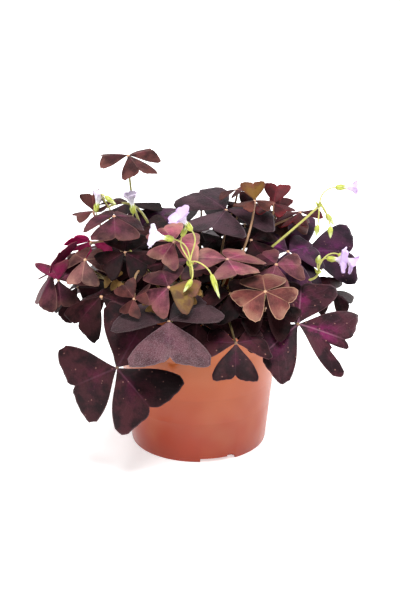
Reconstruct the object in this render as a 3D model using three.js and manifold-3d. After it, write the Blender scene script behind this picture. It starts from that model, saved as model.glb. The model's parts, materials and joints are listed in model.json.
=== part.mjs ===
// A purple shamrock in its plastic nursery pot: a tapered pot full of soil, two clumps of
// leaf stalks that fan out from it, a three-part leaf on the tip of every stalk, and four
// flower stems with pale trumpet flowers. Millimetres, +Z up. The origin is on the floor,
// on the pot's axis, and the view that faces the reader looks along +Y.

import * as THREE from "three";
import { mergeVertices } from "three/addons/utils/BufferGeometryUtils.js";
import Module from "manifold-3d";

const wasm = await Module();
wasm.setup();

const RAD = Math.PI / 180;

// The pot, a thin tapered shell on a foot ring.
const POT = {
  height: 105,
  footRadius: 45,
  taper: 0.105,
  wall: 1.8,
  footRing: 3,
  floorLift: 3,
  floorThickness: 2,
  rimBand: 12,
  rimStep: 1.8,
  sides: 40,
};
const FOOT_NOTCH = { count: 3, firstAzimuth: -73, width: 24, height: 2.6, vent: 4, ventHeight: 1.4 };
const DRAIN_HOLES = { count: 5, circle: 29, radius: 4.5 };

// The soil, and the gap that touching pieces keep. Its top is a net of rings, each at a
// share of the pot's inside, whose points lie up to a bump above or below their level.
const GAP = 0.3;
const SOIL_TOP = 92;
const SOIL = { sectors: 22, rings: [0.28, 0.52, 0.76, 0.94], bump: 1.6, sink: 2, edge: 4, clear: 0.35 };

// The two clumps that the leaf stalks rise from, each an oval crown standing in the soil.
const CROWN = { halfLength: 24, halfWidth: 9, offset: 17, below: 12, above: 3 };

// The leaf stalks, and the ways that one may run: how far it bows to a side, and how much it
// comes to its leaf from above and inside. rootShare says how far a root stands out of its
// crown's middle, as a share of its leaf's distance.
const STALK = { radius: 0.95, sides: 5, steps: 7, rootShare: [0.4, 0.06], rootReach: [20, 4] };
const STALK_WAYS = { bows: [0, 7, -7, 14, -14, 21, -21], rises: [0, 0.35, 0.8, 1.6, 2.6] };

// Leaves whose hub is nearer the viewer than this plane grow from the front clump.
const CLUMP_BORDER = 8;
const KNOB_RADIUS = 1.9;
const BLADE_HALF_THICKNESS = 0.45;

// How far apart pieces are kept while leaves are being set: the points that stand for each
// kind of piece, how far apart they are, and the room that each takes.
const SPACING = { blade: 1.7, line: 1.5 };
const ROOM = { blade: 1.25, stalk: 1.35, flowerStem: 1.7, calyx: 2.4, petals: 1.6 };

// Where a stalk may be close to others: round its own leaf's hub, and low over the crown that
// all stalks of a clump rise from. Two pieces of one leaf need less room by the last value.
const CLOSE = { hub: 3.2, tip: 3.6, overSoil: 8, fromAxis: 36, own: 0.4 };

// The line along which a leaf may slide and look the same from the front, and how far a
// leaf may be moved along it, sideways and upwards from its own place when that is taken.
const SIGHT = new THREE.Vector3(0, 0.94, -0.34).normalize();
const NUDGE = { along: [20, 2.5], aside: [4, 2], above: [4, 2] };
const SHRINK = [1, 0.92, 0.84, 0.77];

// Leaf outline, in shares of the midrib's length: the notch at the leaflet's end, the
// shoulder beside it, and the growth and rounding of the two outer corners.
const OUTLINE = { notch: 0.95, shoulder: 0.1, shoulderWidth: 0.07, growth: 0.35, corner: 0.16 };

// Every leaf: hub x, y, z; midrib length; the direction that the leaf leans towards and by
// how much; the plan azimuth of its first leaflet, or of each; how far its leaflets droop,
// one angle for all three or one each; half angle of a leaflet; and the fold along its midribs.
const LEAVES = [
  ["a_tall", -45, 10, 192, 17, -90, 12, [182, -60, 30], [-12, 6, -4], 37, 22],
  ["m_front", -18, -71, 109, 28, -90, 4, -88, [16, -18, -2], 48, 8],
  ["n_front_left_low", -48, -62, 75, 33, -95, 70, [58, 201, 303], [10, 3, 3], 44, 10],
  ["l_front_low", 23, -80, 98, 20, -90, 34, [-90, 18, 162], [20, 14, 10], 36, 10],
  ["k_front_right", 62, -63, 106, 32, -85, 38, [82, 222, 342], [2, 9, 4], 40, 10],
  ["j_front_right_small", 41, -65, 126, 17, -90, 27, 92, 5, 46, 8],
  ["h_centre", 18, -45, 138, 19, -90, 8, -70, 3, 45, 8],
  ["e_top", 18, 5, 157, 27, -90, 6, [5, 132, 245], [4, -17, 4], 46, 8],
  ["c_left_top", -53, -25, 162, 17, -90, 15, -85, 16, 48, 10],
  ["g_right_big", 68, 8, 124, 30, -95, 34, 124, 4, 45, 12],
  ["w_left_dark", -47, -6, 132, 19, -90, 34, 20, 6, 44, 10],
  ["r_centre_small", -15, -50, 153, 15, -90, 38, 235, 6, 44, 14],
  ["p_left_edge", -94, -10, 119, 21.5, 200, 20, -150, [40, -52, 10], 42, 14],
  ["p2_left_brown", -72, -22, 132, 14, -100, 42, -105, [10, 28, 28], 40, 14],
  ["o_left", -63, -33, 111, 22, -110, 40, -142, [6, 20, 30], 42, 14],
  ["f2_top_upright", 38, 5, 160.5, 11, -90, 5, 100, [-60, 0, 0], 40, 12],
  ["f3_top_red", 45, 8, 156, 12, -90, 5, 75, [-58, 0, 0], 40, 12],
  ["f1_top_small", 27, 15, 165.5, 10, 180, 15, 165, -6, 42, 16],
  ["f4_top_right", 54, 2, 152, 14, -60, 10, -8, 6, 44, 10],
  ["f5_top_right_edge", 64, 12, 155, 14, 190, 12, 5, 2, 42, 16],
  ["v_centre_low", 22, -46, 118, 18, -90, 20, -75, 6, 44, 12],
  ["q_centre_crease", -14, -57, 128, 16, -100, 35, 222, 6, 44, 12],
  ["s_centre_flat", -9, -40, 134, 19, -90, 5, 180, 4, 42, 8],
  ["d_top_left", -30, 28, 133, 26, -90, 34, 92, 5, 44, 10],
  ["x_centre_dark", 30, 2, 137, 20, -90, 26, -60, 6, 45, 10],
  ["yb_old_yellow", -8, -60, 121, 10, -90, 50, -95, 14, 42, 24],
  ["lf_left_low", -76, -6, 110, 22, -150, 38, -150, 8, 44, 12],
  ["y_centre_upright", 29, -22, 134, 12, -90, 40, 135, 5, 42, 12],
  ["i_centre_right", 45, -32, 128, 15, -90, 25, 130, 6, 44, 12],
  ["b_left_high", -60, 8, 160, 11, 90, 10, 170, [-70, -30, -25], 38, 20],
  ["mg_left_magenta", -68, 0, 137, 14, 90, 45, [10, 130, 220], 0, 38, 16],
  ["br_left_folded", -37, -55, 118, 10, -110, 40, -120, [10, -35, -35], 42, 20],
  ["kb_right_back", 87, -8, 104, 15, -60, 35, -20, 8, 44, 12],
  ["b1_back_top", 2, 42, 146, 26, 90, 10, 90, 6, 46, 10],
  ["b2_back_top_left", -46, 44, 146, 26, 130, 18, 130, 8, 46, 10],
  ["b3_back_top_right", 46, 50, 142, 28, 50, 20, 50, 8, 46, 10],
  ["b4_left_back", -82, 34, 122, 24, 165, 32, 165, 8, 45, 12],
  ["b5_right_back", 82, 38, 120, 25, 25, 32, 25, 8, 45, 12],
  ["b6_back_left", -24, 70, 131, 26, 105, 28, 105, 8, 46, 10],
  ["b7_back_right", 28, 68, 126, 27, 72, 32, 72, 8, 46, 10],
  ["b8_back_left_low", -62, 66, 104, 28, 132, 42, 132, 8, 45, 12],
  ["b9_back_right_low", 64, 72, 98, 28, 48, 44, 48, 8, 45, 12],
  ["b10_back_low", 2, 78, 96, 25, 90, 46, 90, 8, 45, 12],
  ["b11_back_left_hanging", -40, 76, 84, 24, 116, 52, 296, 4, 44, 12],
  ["b12_back_right_hanging", 44, 76, 82, 24, 60, 52, 240, 4, 44, 12],
];
const YOUNG = new Set([
  "a_tall",
  "b_left_high",
  "c_left_top",
  "r_centre_small",
  "h_centre",
  "j_front_right_small",
  "f1_top_small",
  "f2_top_upright",
  "f3_top_red",
  "f5_top_right_edge",
]);
const OLD = new Set(["yb_old_yellow"]);

// Every flower stem: where it stands in the soil, the two points that bend it, and its head,
// where its flower stalks part; then its flowers and its closed or spent buds.
const FLOWER_STEMS = [
  {
    name: "right",
    root: [9, 0],
    low: [11, -1, 106],
    high: [50, -8, 136],
    head: [77, -12, 165],
    flowers: [{ base: [87, -12, 177], mouth: [101, -12, 177], open: 0.45 }],
    buds: [
      { base: [84, -16, 152], tip: [84, -18, 145] },
      { base: [76, -16, 153], tip: [75, -17, 146] },
      { base: [82, -8, 158], tip: [87, -9, 151] },
    ],
  },
  {
    name: "centre",
    root: [-2, 0],
    low: [-2, -1, 108],
    high: [-3, -50, 112],
    head: [-5, -62, 142],
    flowers: [
      { base: [-15, -63, 159], mouth: [-29, -65, 162], open: 0.9 },
      { base: [-4, -64, 165], mouth: [-12, -66, 176], open: 0.95 },
    ],
    buds: [
      { base: [8, -74, 140], tip: [13, -78, 126] },
      { base: [-4, -72, 136], tip: [-9, -75, 129] },
      { base: [-10, -60, 160], tip: [-6, -58, 167] },
    ],
  },
  {
    name: "left",
    root: [-16, 0],
    low: [-17, 0, 108],
    high: [-46, 3, 122],
    head: [-53, 4, 146],
    flowers: [
      { base: [-42, 4, 155], mouth: [-44, 3, 169], open: 0.5 },
      { base: [-66, -2, 158], mouth: [-63, -3, 172], open: 0.4 },
    ],
    buds: [{ base: [-59, -12, 171], tip: [-52, -14, 166] }],
  },
  {
    name: "right_edge",
    root: [20, 0],
    low: [23, 0, 128],
    high: [74, -14, 104],
    head: [77, -18, 122],
    flowers: [
      { base: [82, -22, 133], mouth: [93, -26, 133], open: 1 },
      { base: [90, -14, 133], mouth: [101, -17, 127], open: 0.85 },
    ],
    buds: [{ base: [76, -22, 130], tip: [77, -24, 136] }],
  },
];
const STEM = { radius: 1.25, sides: 6, steps: 7, sunk: 5.5, headRadius: 2.1 };
const STEM_HOLE = { radius: 3.2, depth: 6, sides: 8 };
const FLOWER_STALK = { radius: 0.75, sides: 5, steps: 5, pull: 0.45, flowerRise: 0.45, budRise: 0.3 };
const CALYX = { length: 6.5, sides: 6 };
const TRUMPET = { throat: 1.3, neck: 1.6, mouth: 6.2, wall: 0.7, petals: 5, gapDepth: 0.88 };

// Half outlines of a calyx and of a bud: radius, and the share of its length from the base.
const CALYX_OUTLINE = [
  [0, 0],
  [1.14, 0.04],
  [1.9, 0.45],
  [1.615, 1],
  [0, 1],
];
const BUD_OUTLINE = [
  [0, 0],
  [0.9, 0.05],
  [1.8, 0.4],
  [1.1, 0.8],
  [0, 1],
];

// Colours of the real thing, with how rough each looks.
const FINISH = {
  pot: new THREE.MeshStandardMaterial({ color: "#b8603f", roughness: 0.42, metalness: 0 }),
  soil: new THREE.MeshStandardMaterial({ color: "#2c211b", roughness: 0.95, metalness: 0 }),
  stalk: new THREE.MeshStandardMaterial({ color: "#b08a5e", roughness: 0.6, metalness: 0 }),
  leaf: new THREE.MeshStandardMaterial({ color: "#4a2338", roughness: 0.55, metalness: 0 }),
  youngLeaf: new THREE.MeshStandardMaterial({ color: "#7d3444", roughness: 0.55, metalness: 0 }),
  oldLeaf: new THREE.MeshStandardMaterial({ color: "#8a6a35", roughness: 0.7, metalness: 0 }),
  flowerStem: new THREE.MeshStandardMaterial({ color: "#a9ad4e", roughness: 0.5, metalness: 0 }),
  petal: new THREE.MeshStandardMaterial({ color: "#ecd9f0", roughness: 0.5, metalness: 0 }),
};

// Solids

// A closed three.js geometry as a solid: only places are kept, and faces with no area go.
function solidOf(geometry) {
  const bare = geometry.clone();
  bare.deleteAttribute("normal");
  bare.deleteAttribute("uv");
  const merged = mergeVertices(bare, 1e-4);
  const index = merged.index.array;
  const kept = [];
  for (let i = 0; i < index.length; i += 3) {
    const [a, b, c] = [index[i], index[i + 1], index[i + 2]];
    if (a !== b && b !== c && c !== a) kept.push(a, b, c);
  }
  return new wasm.Manifold(
    new wasm.Mesh({
      numProp: 3,
      vertProperties: merged.attributes.position.array,
      triVerts: new Uint32Array(kept),
    }),
  );
}

function geometryOf(solid) {
  const mesh = solid.getMesh();
  const geometry = new THREE.BufferGeometry();
  geometry.setAttribute("position", new THREE.BufferAttribute(mesh.vertProperties, 3));
  geometry.setIndex(new THREE.BufferAttribute(mesh.triVerts, 1));
  geometry.computeVertexNormals();
  return geometry;
}

function joined(solids) {
  return solids.reduce((whole, piece) => whole.add(piece));
}

function sweep(curve, radius, sides, steps) {
  const section = new THREE.Shape(
    Array.from({ length: sides }, (_, i) => {
      const angle = (2 * Math.PI * i) / sides;
      return new THREE.Vector2(radius * Math.cos(angle), radius * Math.sin(angle));
    }),
  );
  return new THREE.ExtrudeGeometry(section, { steps, extrudePath: curve, bevelEnabled: false });
}

function lathe(profile, sides) {
  return new THREE.LatheGeometry(
    profile.map(([r, z]) => new THREE.Vector2(r, z)),
    sides,
  ).rotateX(Math.PI / 2);
}

// The leaf

const vec = (x, y, z) => new THREE.Vector3(x, y, z);
const smoothstep = (low, high, x) => THREE.MathUtils.smoothstep(x, low, high);

// A steady number from -1 to 1 for a leaf and one of its leaflets.
function wobble(leaf, leaflet) {
  const wild = Math.sin(12.9898 * (leaf + 1) + 78.233 * (leaflet + 1)) * 43758.5453;
  return 2 * (wild - Math.floor(wild)) - 1;
}

// A point on a leaflet: s runs from the hub to the far edge, t from one side to the other.
function leafletPoint(shape, s, t) {
  const a = Math.abs(t);
  const reach =
    OUTLINE.notch +
    OUTLINE.shoulder * (1 - Math.exp(-((a / OUTLINE.shoulderWidth) ** 2))) +
    OUTLINE.growth * a ** 1.6 -
    OUTLINE.corner * smoothstep(0.86, 1, a);
  const angle = t * (shape.flare + 6 * Math.sin(Math.PI * s)) * RAD;
  const radius = shape.size * reach * s;
  const [u, v] = [radius * Math.cos(angle), radius * Math.sin(angle)];
  const soft = 0.05 * shape.size;
  const crease = Math.hypot(v, soft) - soft;
  const w =
    -crease * Math.sin(shape.fold * RAD) -
    (shape.curl * u * u) / shape.size +
    shape.wave * shape.size * s * s * Math.sin(4.4 * angle + shape.phase);
  return [u, v * Math.cos(shape.fold * RAD), w];
}

// The place and shape of a leaf's three leaflets, from its row in the list.
function leafOf(row, index, move, scale) {
  const [name, x, y, z, size, toward, lean, spin, droop, flare, fold] = row;
  const hub = vec(x, y, z).add(move);
  const [ct, st] = [Math.cos(toward * RAD), Math.sin(toward * RAD)];
  const [cl, sl] = [Math.cos(lean * RAD), Math.sin(lean * RAD)];
  const up = vec(sl * ct, sl * st, cl);
  const down = vec(cl * ct, cl * st, -sl);
  const across = up.clone().cross(down);
  const leaflets = [0, 1, 2].map((k) => {
    const turn = ((spin[k] ?? spin + 120 * k) + 4 * wobble(index, k) - toward) * RAD;
    const dip = ((droop[k] ?? droop) + 4 * wobble(index, k + 3)) * RAD;
    const flat = down.clone().multiplyScalar(Math.cos(turn)).addScaledVector(across, Math.sin(turn));
    const along = flat.clone().multiplyScalar(Math.cos(dip)).addScaledVector(up, -Math.sin(dip));
    const normal = up.clone().multiplyScalar(Math.cos(dip)).addScaledVector(flat, Math.sin(dip));
    const side = up.clone().cross(flat);
    const shape = {
      size: scale * size * (1 + 0.06 * wobble(index, k + 6)),
      flare,
      fold: fold + 4 * wobble(index, k + 9),
      curl: 0.1 + 0.08 * wobble(index, k + 12),
      wave: 0.03 + 0.015 * wobble(index, k + 15),
      phase: Math.PI * wobble(index, k + 18),
    };
    return { along, side, normal, shape };
  });
  return { name, hub, up, leaflets };
}

function placed(leaf, leaflet, [u, v, w]) {
  return leaf.hub
    .clone()
    .addScaledVector(leaflet.along, u)
    .addScaledVector(leaflet.side, v)
    .addScaledVector(leaflet.normal, w);
}

// A leaf as one thin solid. The same net of points makes both faces: a hub, a point between
// each two leaflets, and for each leaflet its middle and its outline with the notch and the
// two corners. The under side swells to a knob at the hub.
function leafSolid(leaf) {
  const half = (sign) => [
    [0.5, sign],
    [1, sign],
    [1, 0.86 * sign],
    [1, 0.16 * sign],
  ];
  const outline = [...half(-1), [1, 0], ...half(1).reverse()];
  const stride = outline.length + 2;
  const between = (k) => 1 + ((k + 3) % 3) * stride;
  const places = [];
  for (const face of [1, -1]) {
    const lift = face * BLADE_HALF_THICKNESS;
    places.push(leaf.hub.clone().addScaledVector(leaf.up, face === 1 ? lift : -KNOB_RADIUS));
    leaf.leaflets.forEach((leaflet, k) => {
      const next = leaf.leaflets[(k + 1) % 3];
      const gap = leaflet.along.clone().add(next.along).addScaledVector(leaf.up, 0.3).normalize();
      places.push(leaf.hub.clone().addScaledVector(gap, KNOB_RADIUS).addScaledVector(leaf.up, lift));
      for (const [share, side] of [...outline, [0.58, 0]]) {
        const [u, v, w] = leafletPoint(leaflet.shape, share, side);
        places.push(placed(leaf, leaflet, [u, v, w + lift]));
      }
    });
  }
  const under = places.length / 2;
  const triangles = [];
  const border = [];
  for (let k = 0; k < 3; k++) {
    const own = outline.map((_, i) => between(k) + 1 + i);
    const ring = [0, between(k - 1), ...own, between(k)];
    const middle = between(k) + 1 + outline.length;
    ring.forEach((a, i) => {
      const b = ring[(i + 1) % ring.length];
      triangles.push([middle, a, b], [middle + under, b + under, a + under]);
    });
    border.push(...own, between(k));
  }
  border.forEach((a, i) => {
    const b = border[(i + 1) % border.length];
    triangles.push([a, a + under, b], [b, a + under, b + under]);
  });
  const geometry = new THREE.BufferGeometry().setFromPoints(places);
  geometry.setIndex(triangles.flat());
  return solidOf(geometry);
}

// Points spread over a leaf, close enough together that nothing slips between them.
function leafSamples(leaf) {
  const points = [];
  leaf.leaflets.forEach((leaflet) => {
    const { size, flare } = leaflet.shape;
    const rows = Math.ceil((1.2 * size) / SPACING.blade);
    for (let i = 1; i <= rows; i++) {
      const share = i / rows;
      const width = 2 * flare * RAD * 1.2 * size * share;
      const columns = Math.max(1, Math.ceil(width / SPACING.blade));
      for (let j = 0; j <= columns; j++) {
        const place = leafletPoint(leaflet.shape, share, (2 * j) / columns - 1);
        points.push(placed(leaf, leaflet, place));
      }
    }
  });
  return points;
}

// Room for the leaves: a grid of the points taken so far, each with its room and owner.
class Thicket {
  constructor() {
    this.cell = 2 * Math.max(...Object.values(ROOM));
    this.cells = new Map();
  }

  key(i, j, k) {
    return (i * 256 + j) * 256 + k;
  }

  cellOf(p) {
    return [p.x, p.y, p.z].map((x) => Math.floor(x / this.cell) + 100);
  }

  add(points, room, owner) {
    points.forEach((p) => {
      const key = this.key(...this.cellOf(p));
      if (!this.cells.has(key)) this.cells.set(key, []);
      this.cells.get(key).push({ p, room, owner });
    });
  }

  // True where a point with the given room meets another owner's.
  taken(p, room, owner) {
    const [i, j, k] = this.cellOf(p);
    for (let a = i - 1; a <= i + 1; a++)
      for (let b = j - 1; b <= j + 1; b++)
        for (let c = k - 1; c <= k + 1; c++)
          for (const other of this.cells.get(this.key(a, b, c)) ?? []) {
            const reach = room + other.room;
            if (other.owner !== owner && other.p.distanceToSquared(p) < reach * reach) return true;
          }
    return false;
  }

  // How many of the points are taken, counted up to a limit.
  crowding(points, room, owner, limit) {
    let count = 0;
    for (const p of points) {
      if (this.taken(p, room, owner)) count += 1;
      if (count >= limit) break;
    }
    return count;
  }
}

const potRadius = (z) => POT.footRadius + POT.taper * z;

// True where a point is in the pot's wall, under the soil's top or on the floor, or within
// the margin of them.
function inPot(p, margin) {
  const r = Math.hypot(p.x, p.y);
  if (p.z < margin + 1) return true;
  if (p.z > POT.height + margin) return false;
  const outer = potRadius(p.z) + (p.z > POT.height - POT.rimBand - margin ? POT.rimStep : 0);
  const inner = potRadius(p.z) - POT.wall;
  return r < outer + margin && (r > inner - margin || p.z < SOIL_TOP + 2 + margin);
}

// A leaf stalk's root on its clump's crown, leaning the way of its leaf.
function stalkRoot(hub, clump) {
  const [x, y] = [hub.x, hub.y].map((value, i) => {
    return THREE.MathUtils.clamp(STALK.rootShare[i] * value, -STALK.rootReach[i], STALK.rootReach[i]);
  });
  return vec(x, clump * CROWN.offset + y, SOIL_TOP);
}

// The ways that a stalk may run to its leaf, the most natural first: it comes to the hub from
// under the leaf, or more and more from above and inside where the leaf hangs.
function stalkCurves(leaf, clump) {
  const root = stalkRoot(leaf.hub, clump);
  const curves = [];
  for (const bow of STALK_WAYS.bows)
    for (const rise of STALK_WAYS.rises) {
      const inward = vec(-leaf.hub.x, -leaf.hub.y, 0).normalize();
      const arrive = leaf.up.clone().negate().addScaledVector(inward, rise * 0.8);
      arrive.z += rise * 1.1;
      arrive.normalize();
      const slant = Math.sqrt(Math.max(0, 1 - arrive.dot(leaf.up) ** 2));
      const tipGap = KNOB_RADIUS + GAP + (STALK.radius + 0.2) * slant;
      const end = leaf.hub.clone().addScaledVector(leaf.up, -tipGap);
      const span = root.distanceTo(end);
      const sideways = inward.clone().cross(vec(0, 0, 1)).multiplyScalar(bow);
      const first = root.clone().lerp(end, 0.3).add(sideways);
      first.z += 0.16 * span + 12 * rise;
      const second = end.clone().addScaledVector(arrive, 0.38 * span).add(sideways);
      curves.push(new THREE.CubicBezierCurve3(root, first, second, end));
    }
  return curves;
}

function curveSamples(curve, step) {
  return curve.getSpacedPoints(Math.ceil(curve.getLength() / step));
}

// Where a leaf may be moved to and how far it may shrink when its own place is taken, the
// least noticeable first.
function nudges() {
  const steps = ([reach, step]) => {
    const count = Math.floor(reach / step);
    return Array.from({ length: 2 * count + 1 }, (_, i) => (i - count) * step);
  };
  const above = vec(1, 0, 0).cross(SIGHT);
  const found = [];
  SHRINK.forEach((scale, rank) => {
    for (const a of steps(NUDGE.along))
      for (const b of steps(NUDGE.aside))
        for (const c of steps(NUDGE.above)) {
          const move = SIGHT.clone().multiplyScalar(a).addScaledVector(above, c);
          move.x += b;
          found.push({ move, scale, cost: Math.hypot(0.4 * a, b, c) + 2.5 * rank });
        }
  });
  return found.sort((a, b) => a.cost - b.cost);
}

// Sets a leaf and its stalk where neither meets anything: at the leaf's own place if it can.
function settle(row, index, thicket, choices) {
  const clump = row[2] < CLUMP_BORDER ? -1 : 1;
  const clumpName = "stalks" + clump;
  let best = { met: Infinity };
  for (const { move, scale } of choices) {
    const leaf = leafOf(row, index, move, scale);
    const points = leafSamples(leaf);
    const buried = points.filter((p) => inPot(p, ROOM.blade)).length;
    if (buried >= best.met) continue;
    const met = buried + thicket.crowding(points, ROOM.blade, null, best.met - buried);
    if (met >= best.met) continue;
    const outer = points.filter((p) => p.distanceTo(leaf.hub) > CLOSE.hub);
    const ownBlade = new Thicket();
    ownBlade.add(outer, ROOM.blade - CLOSE.own, "own");
    for (const curve of stalkCurves(leaf, clump)) {
      const line = curveSamples(curve, SPACING.line);
      const free = line.filter(
        (p) => p.z > SOIL_TOP + CLOSE.overSoil || Math.hypot(p.x, p.y) > CLOSE.fromAxis,
      );
      const away = free.filter((p) => p.distanceTo(leaf.hub) > CLOSE.tip);
      const crossed =
        free.filter((p) => inPot(p, ROOM.stalk)).length +
        thicket.crowding(away, ROOM.stalk, clumpName, best.met) +
        ownBlade.crowding(away, ROOM.stalk - CLOSE.own, null, best.met);
      const total = met + 2 * crossed;
      if (total < best.met) best = { met: total, leaf, curve, points, line: free };
      if (total === met) break;
    }
    if (best.met === 0) break;
  }
  thicket.add(best.points, ROOM.blade, best.leaf.name);
  thicket.add(best.line, ROOM.stalk, clumpName);
  return { leaf: best.leaf, curve: best.curve, clump };
}

// The flowers

function flowerCurve(from, to, out, rise) {
  const span = from.distanceTo(to);
  const first = from.clone().add(vec(0, 0, rise * span));
  const second = to.clone().addScaledVector(out, -FLOWER_STALK.pull * span);
  return new THREE.CubicBezierCurve3(from, first, second, to);
}

function stemCurve(stem) {
  const root = vec(...stem.root, SOIL_TOP - STEM.sunk);
  return new THREE.CubicBezierCurve3(root, vec(...stem.low), vec(...stem.high), vec(...stem.head));
}

// A calyx or a bud: a slim turned body from its base to its tip.
function turnedAlong(base, tip, profile, sides) {
  const axis = tip.clone().sub(base);
  const length = axis.length();
  const body = lathe(
    profile.map(([r, share]) => [r, share * length]),
    sides,
  );
  const turn = new THREE.Quaternion().setFromUnitVectors(vec(0, 0, 1), axis.normalize());
  return body.applyQuaternion(turn).translate(...base.toArray());
}

// A flower's base, its mouth and the way that it faces.
function flowerAxis(flower) {
  const base = vec(...flower.base);
  const mouth = vec(...flower.mouth);
  return { base, mouth, out: mouth.clone().sub(base).normalize() };
}

// A flower stalk from the stem's head to just inside the calyx or bud that it carries.
function flowerStalkSolid(head, base, out, rise) {
  const inside = base.clone().addScaledVector(out, 1);
  const curve = flowerCurve(head, inside, out, rise);
  return solidOf(sweep(curve, FLOWER_STALK.radius, FLOWER_STALK.sides, FLOWER_STALK.steps));
}

function stemSolid(stem) {
  const head = vec(...stem.head);
  const pieces = [
    solidOf(sweep(stemCurve(stem), STEM.radius, STEM.sides, STEM.steps)),
    solidOf(new THREE.IcosahedronGeometry(STEM.headRadius, 0).translate(...head.toArray())),
  ];
  stem.flowers.forEach((flower) => {
    const { base, out } = flowerAxis(flower);
    const tip = base.clone().addScaledVector(out, CALYX.length);
    pieces.push(flowerStalkSolid(head, base, out, FLOWER_STALK.flowerRise));
    pieces.push(solidOf(turnedAlong(base, tip, CALYX_OUTLINE, CALYX.sides)));
  });
  stem.buds.forEach((bud) => {
    const [base, tip] = [vec(...bud.base), vec(...bud.tip)];
    const out = tip.clone().sub(base).normalize();
    pieces.push(flowerStalkSolid(head, base, out, FLOWER_STALK.budRise));
    pieces.push(solidOf(turnedAlong(base, tip, BUD_OUTLINE, CALYX.sides)));
  });
  return joined(pieces);
}

// A trumpet flower: a funnel wall that widens to five petals, with a gap between each two.
function flowerSolid(flower) {
  const { base, mouth, out } = flowerAxis(flower);
  const start = base.clone().addScaledVector(out, CALYX.length + GAP);
  const depth = mouth.distanceTo(start);
  const wide = TRUMPET.mouth * flower.open;
  const columns = 2 * TRUMPET.petals;
  const gapWide = 1.2 + 0.5 * wide;
  const neck = TRUMPET.neck + 0.2 * wide;
  const rows = [
    [0, TRUMPET.throat, TRUMPET.throat],
    [0.5, neck, neck],
    [0.85, 1.5 + 0.6 * wide, gapWide],
    [1, 1 + wide, gapWide],
  ];
  const ring = (row, inset) =>
    Array.from({ length: columns }, (_, i) => {
      const [share, tipRadius, gapRadius] = rows[row];
      const gap = i % 2 === 1;
      const z = depth * (gap && row === 3 ? TRUMPET.gapDepth : share);
      const r = (gap ? gapRadius : tipRadius) - inset;
      const angle = (2 * Math.PI * i) / columns;
      return vec(r * Math.cos(angle), r * Math.sin(angle), z + (row === 0 && inset ? 1 : 0));
    });
  const rings = [0, 1, 2, 3].map((row) => ring(row, 0));
  rings.push(...[3, 2, 1, 0].map((row) => ring(row, TRUMPET.wall)));
  const places = [...rings.flat(), vec(0, 0, 0), vec(0, 0, 1)];
  const [foot, floor] = [places.length - 2, places.length - 1];
  const triangles = [];
  for (let i = 0; i < columns; i++) {
    const j = (i + 1) % columns;
    triangles.push([foot, j, i]);
    for (let k = 0; k < rings.length - 1; k++) {
      const [a, b] = [k * columns, (k + 1) * columns];
      triangles.push([a + i, a + j, b + j], [a + i, b + j, b + i]);
    }
    const last = (rings.length - 1) * columns;
    triangles.push([last + i, last + j, floor]);
  }
  const geometry = new THREE.BufferGeometry().setFromPoints(places);
  geometry.setIndex(triangles.flat());
  geometry.applyQuaternion(new THREE.Quaternion().setFromUnitVectors(vec(0, 0, 1), out));
  return solidOf(geometry.translate(...start.toArray()));
}

// Takes the room of a flower stem, its flower stalks, its flowers and its buds.
function claimStem(stem, thicket) {
  const head = vec(...stem.head);
  const owner = "flowers";
  const line = curveSamples(stemCurve(stem), SPACING.line).filter((p) => p.z > SOIL_TOP);
  thicket.add(line, ROOM.flowerStem, owner);
  for (const flower of stem.flowers) {
    const { base, mouth, out } = flowerAxis(flower);
    const stalk = flowerCurve(head, base, out, FLOWER_STALK.flowerRise);
    thicket.add(curveSamples(stalk, SPACING.line), ROOM.stalk, owner);
    thicket.add(curveSamples(new THREE.LineCurve3(base, mouth), SPACING.line), ROOM.calyx, owner);
    const side = vec(0, 0, 1).cross(out).normalize();
    const other = out.clone().cross(side);
    for (const share of [0.6, 0.8, 1]) {
      const radius = (1 + TRUMPET.mouth * flower.open) * share ** 2;
      const count = Math.ceil((2 * Math.PI * radius) / SPACING.line);
      const rim = Array.from({ length: count }, (_, i) => {
        const angle = (2 * Math.PI * i) / count;
        const centre = base.clone().lerp(mouth, share).addScaledVector(side, radius * Math.cos(angle));
        return centre.addScaledVector(other, radius * Math.sin(angle));
      });
      thicket.add(rim, ROOM.petals, owner);
    }
  }
  for (const bud of stem.buds) {
    const [base, tip] = [vec(...bud.base), vec(...bud.tip)];
    const out = tip.clone().sub(base).normalize();
    const stalk = flowerCurve(head, base, out, FLOWER_STALK.budRise);
    thicket.add(curveSamples(stalk, SPACING.line), ROOM.stalk, owner);
    thicket.add(curveSamples(new THREE.LineCurve3(base, tip), SPACING.line), ROOM.calyx, owner);
  }
}

// Pot and soil

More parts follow.
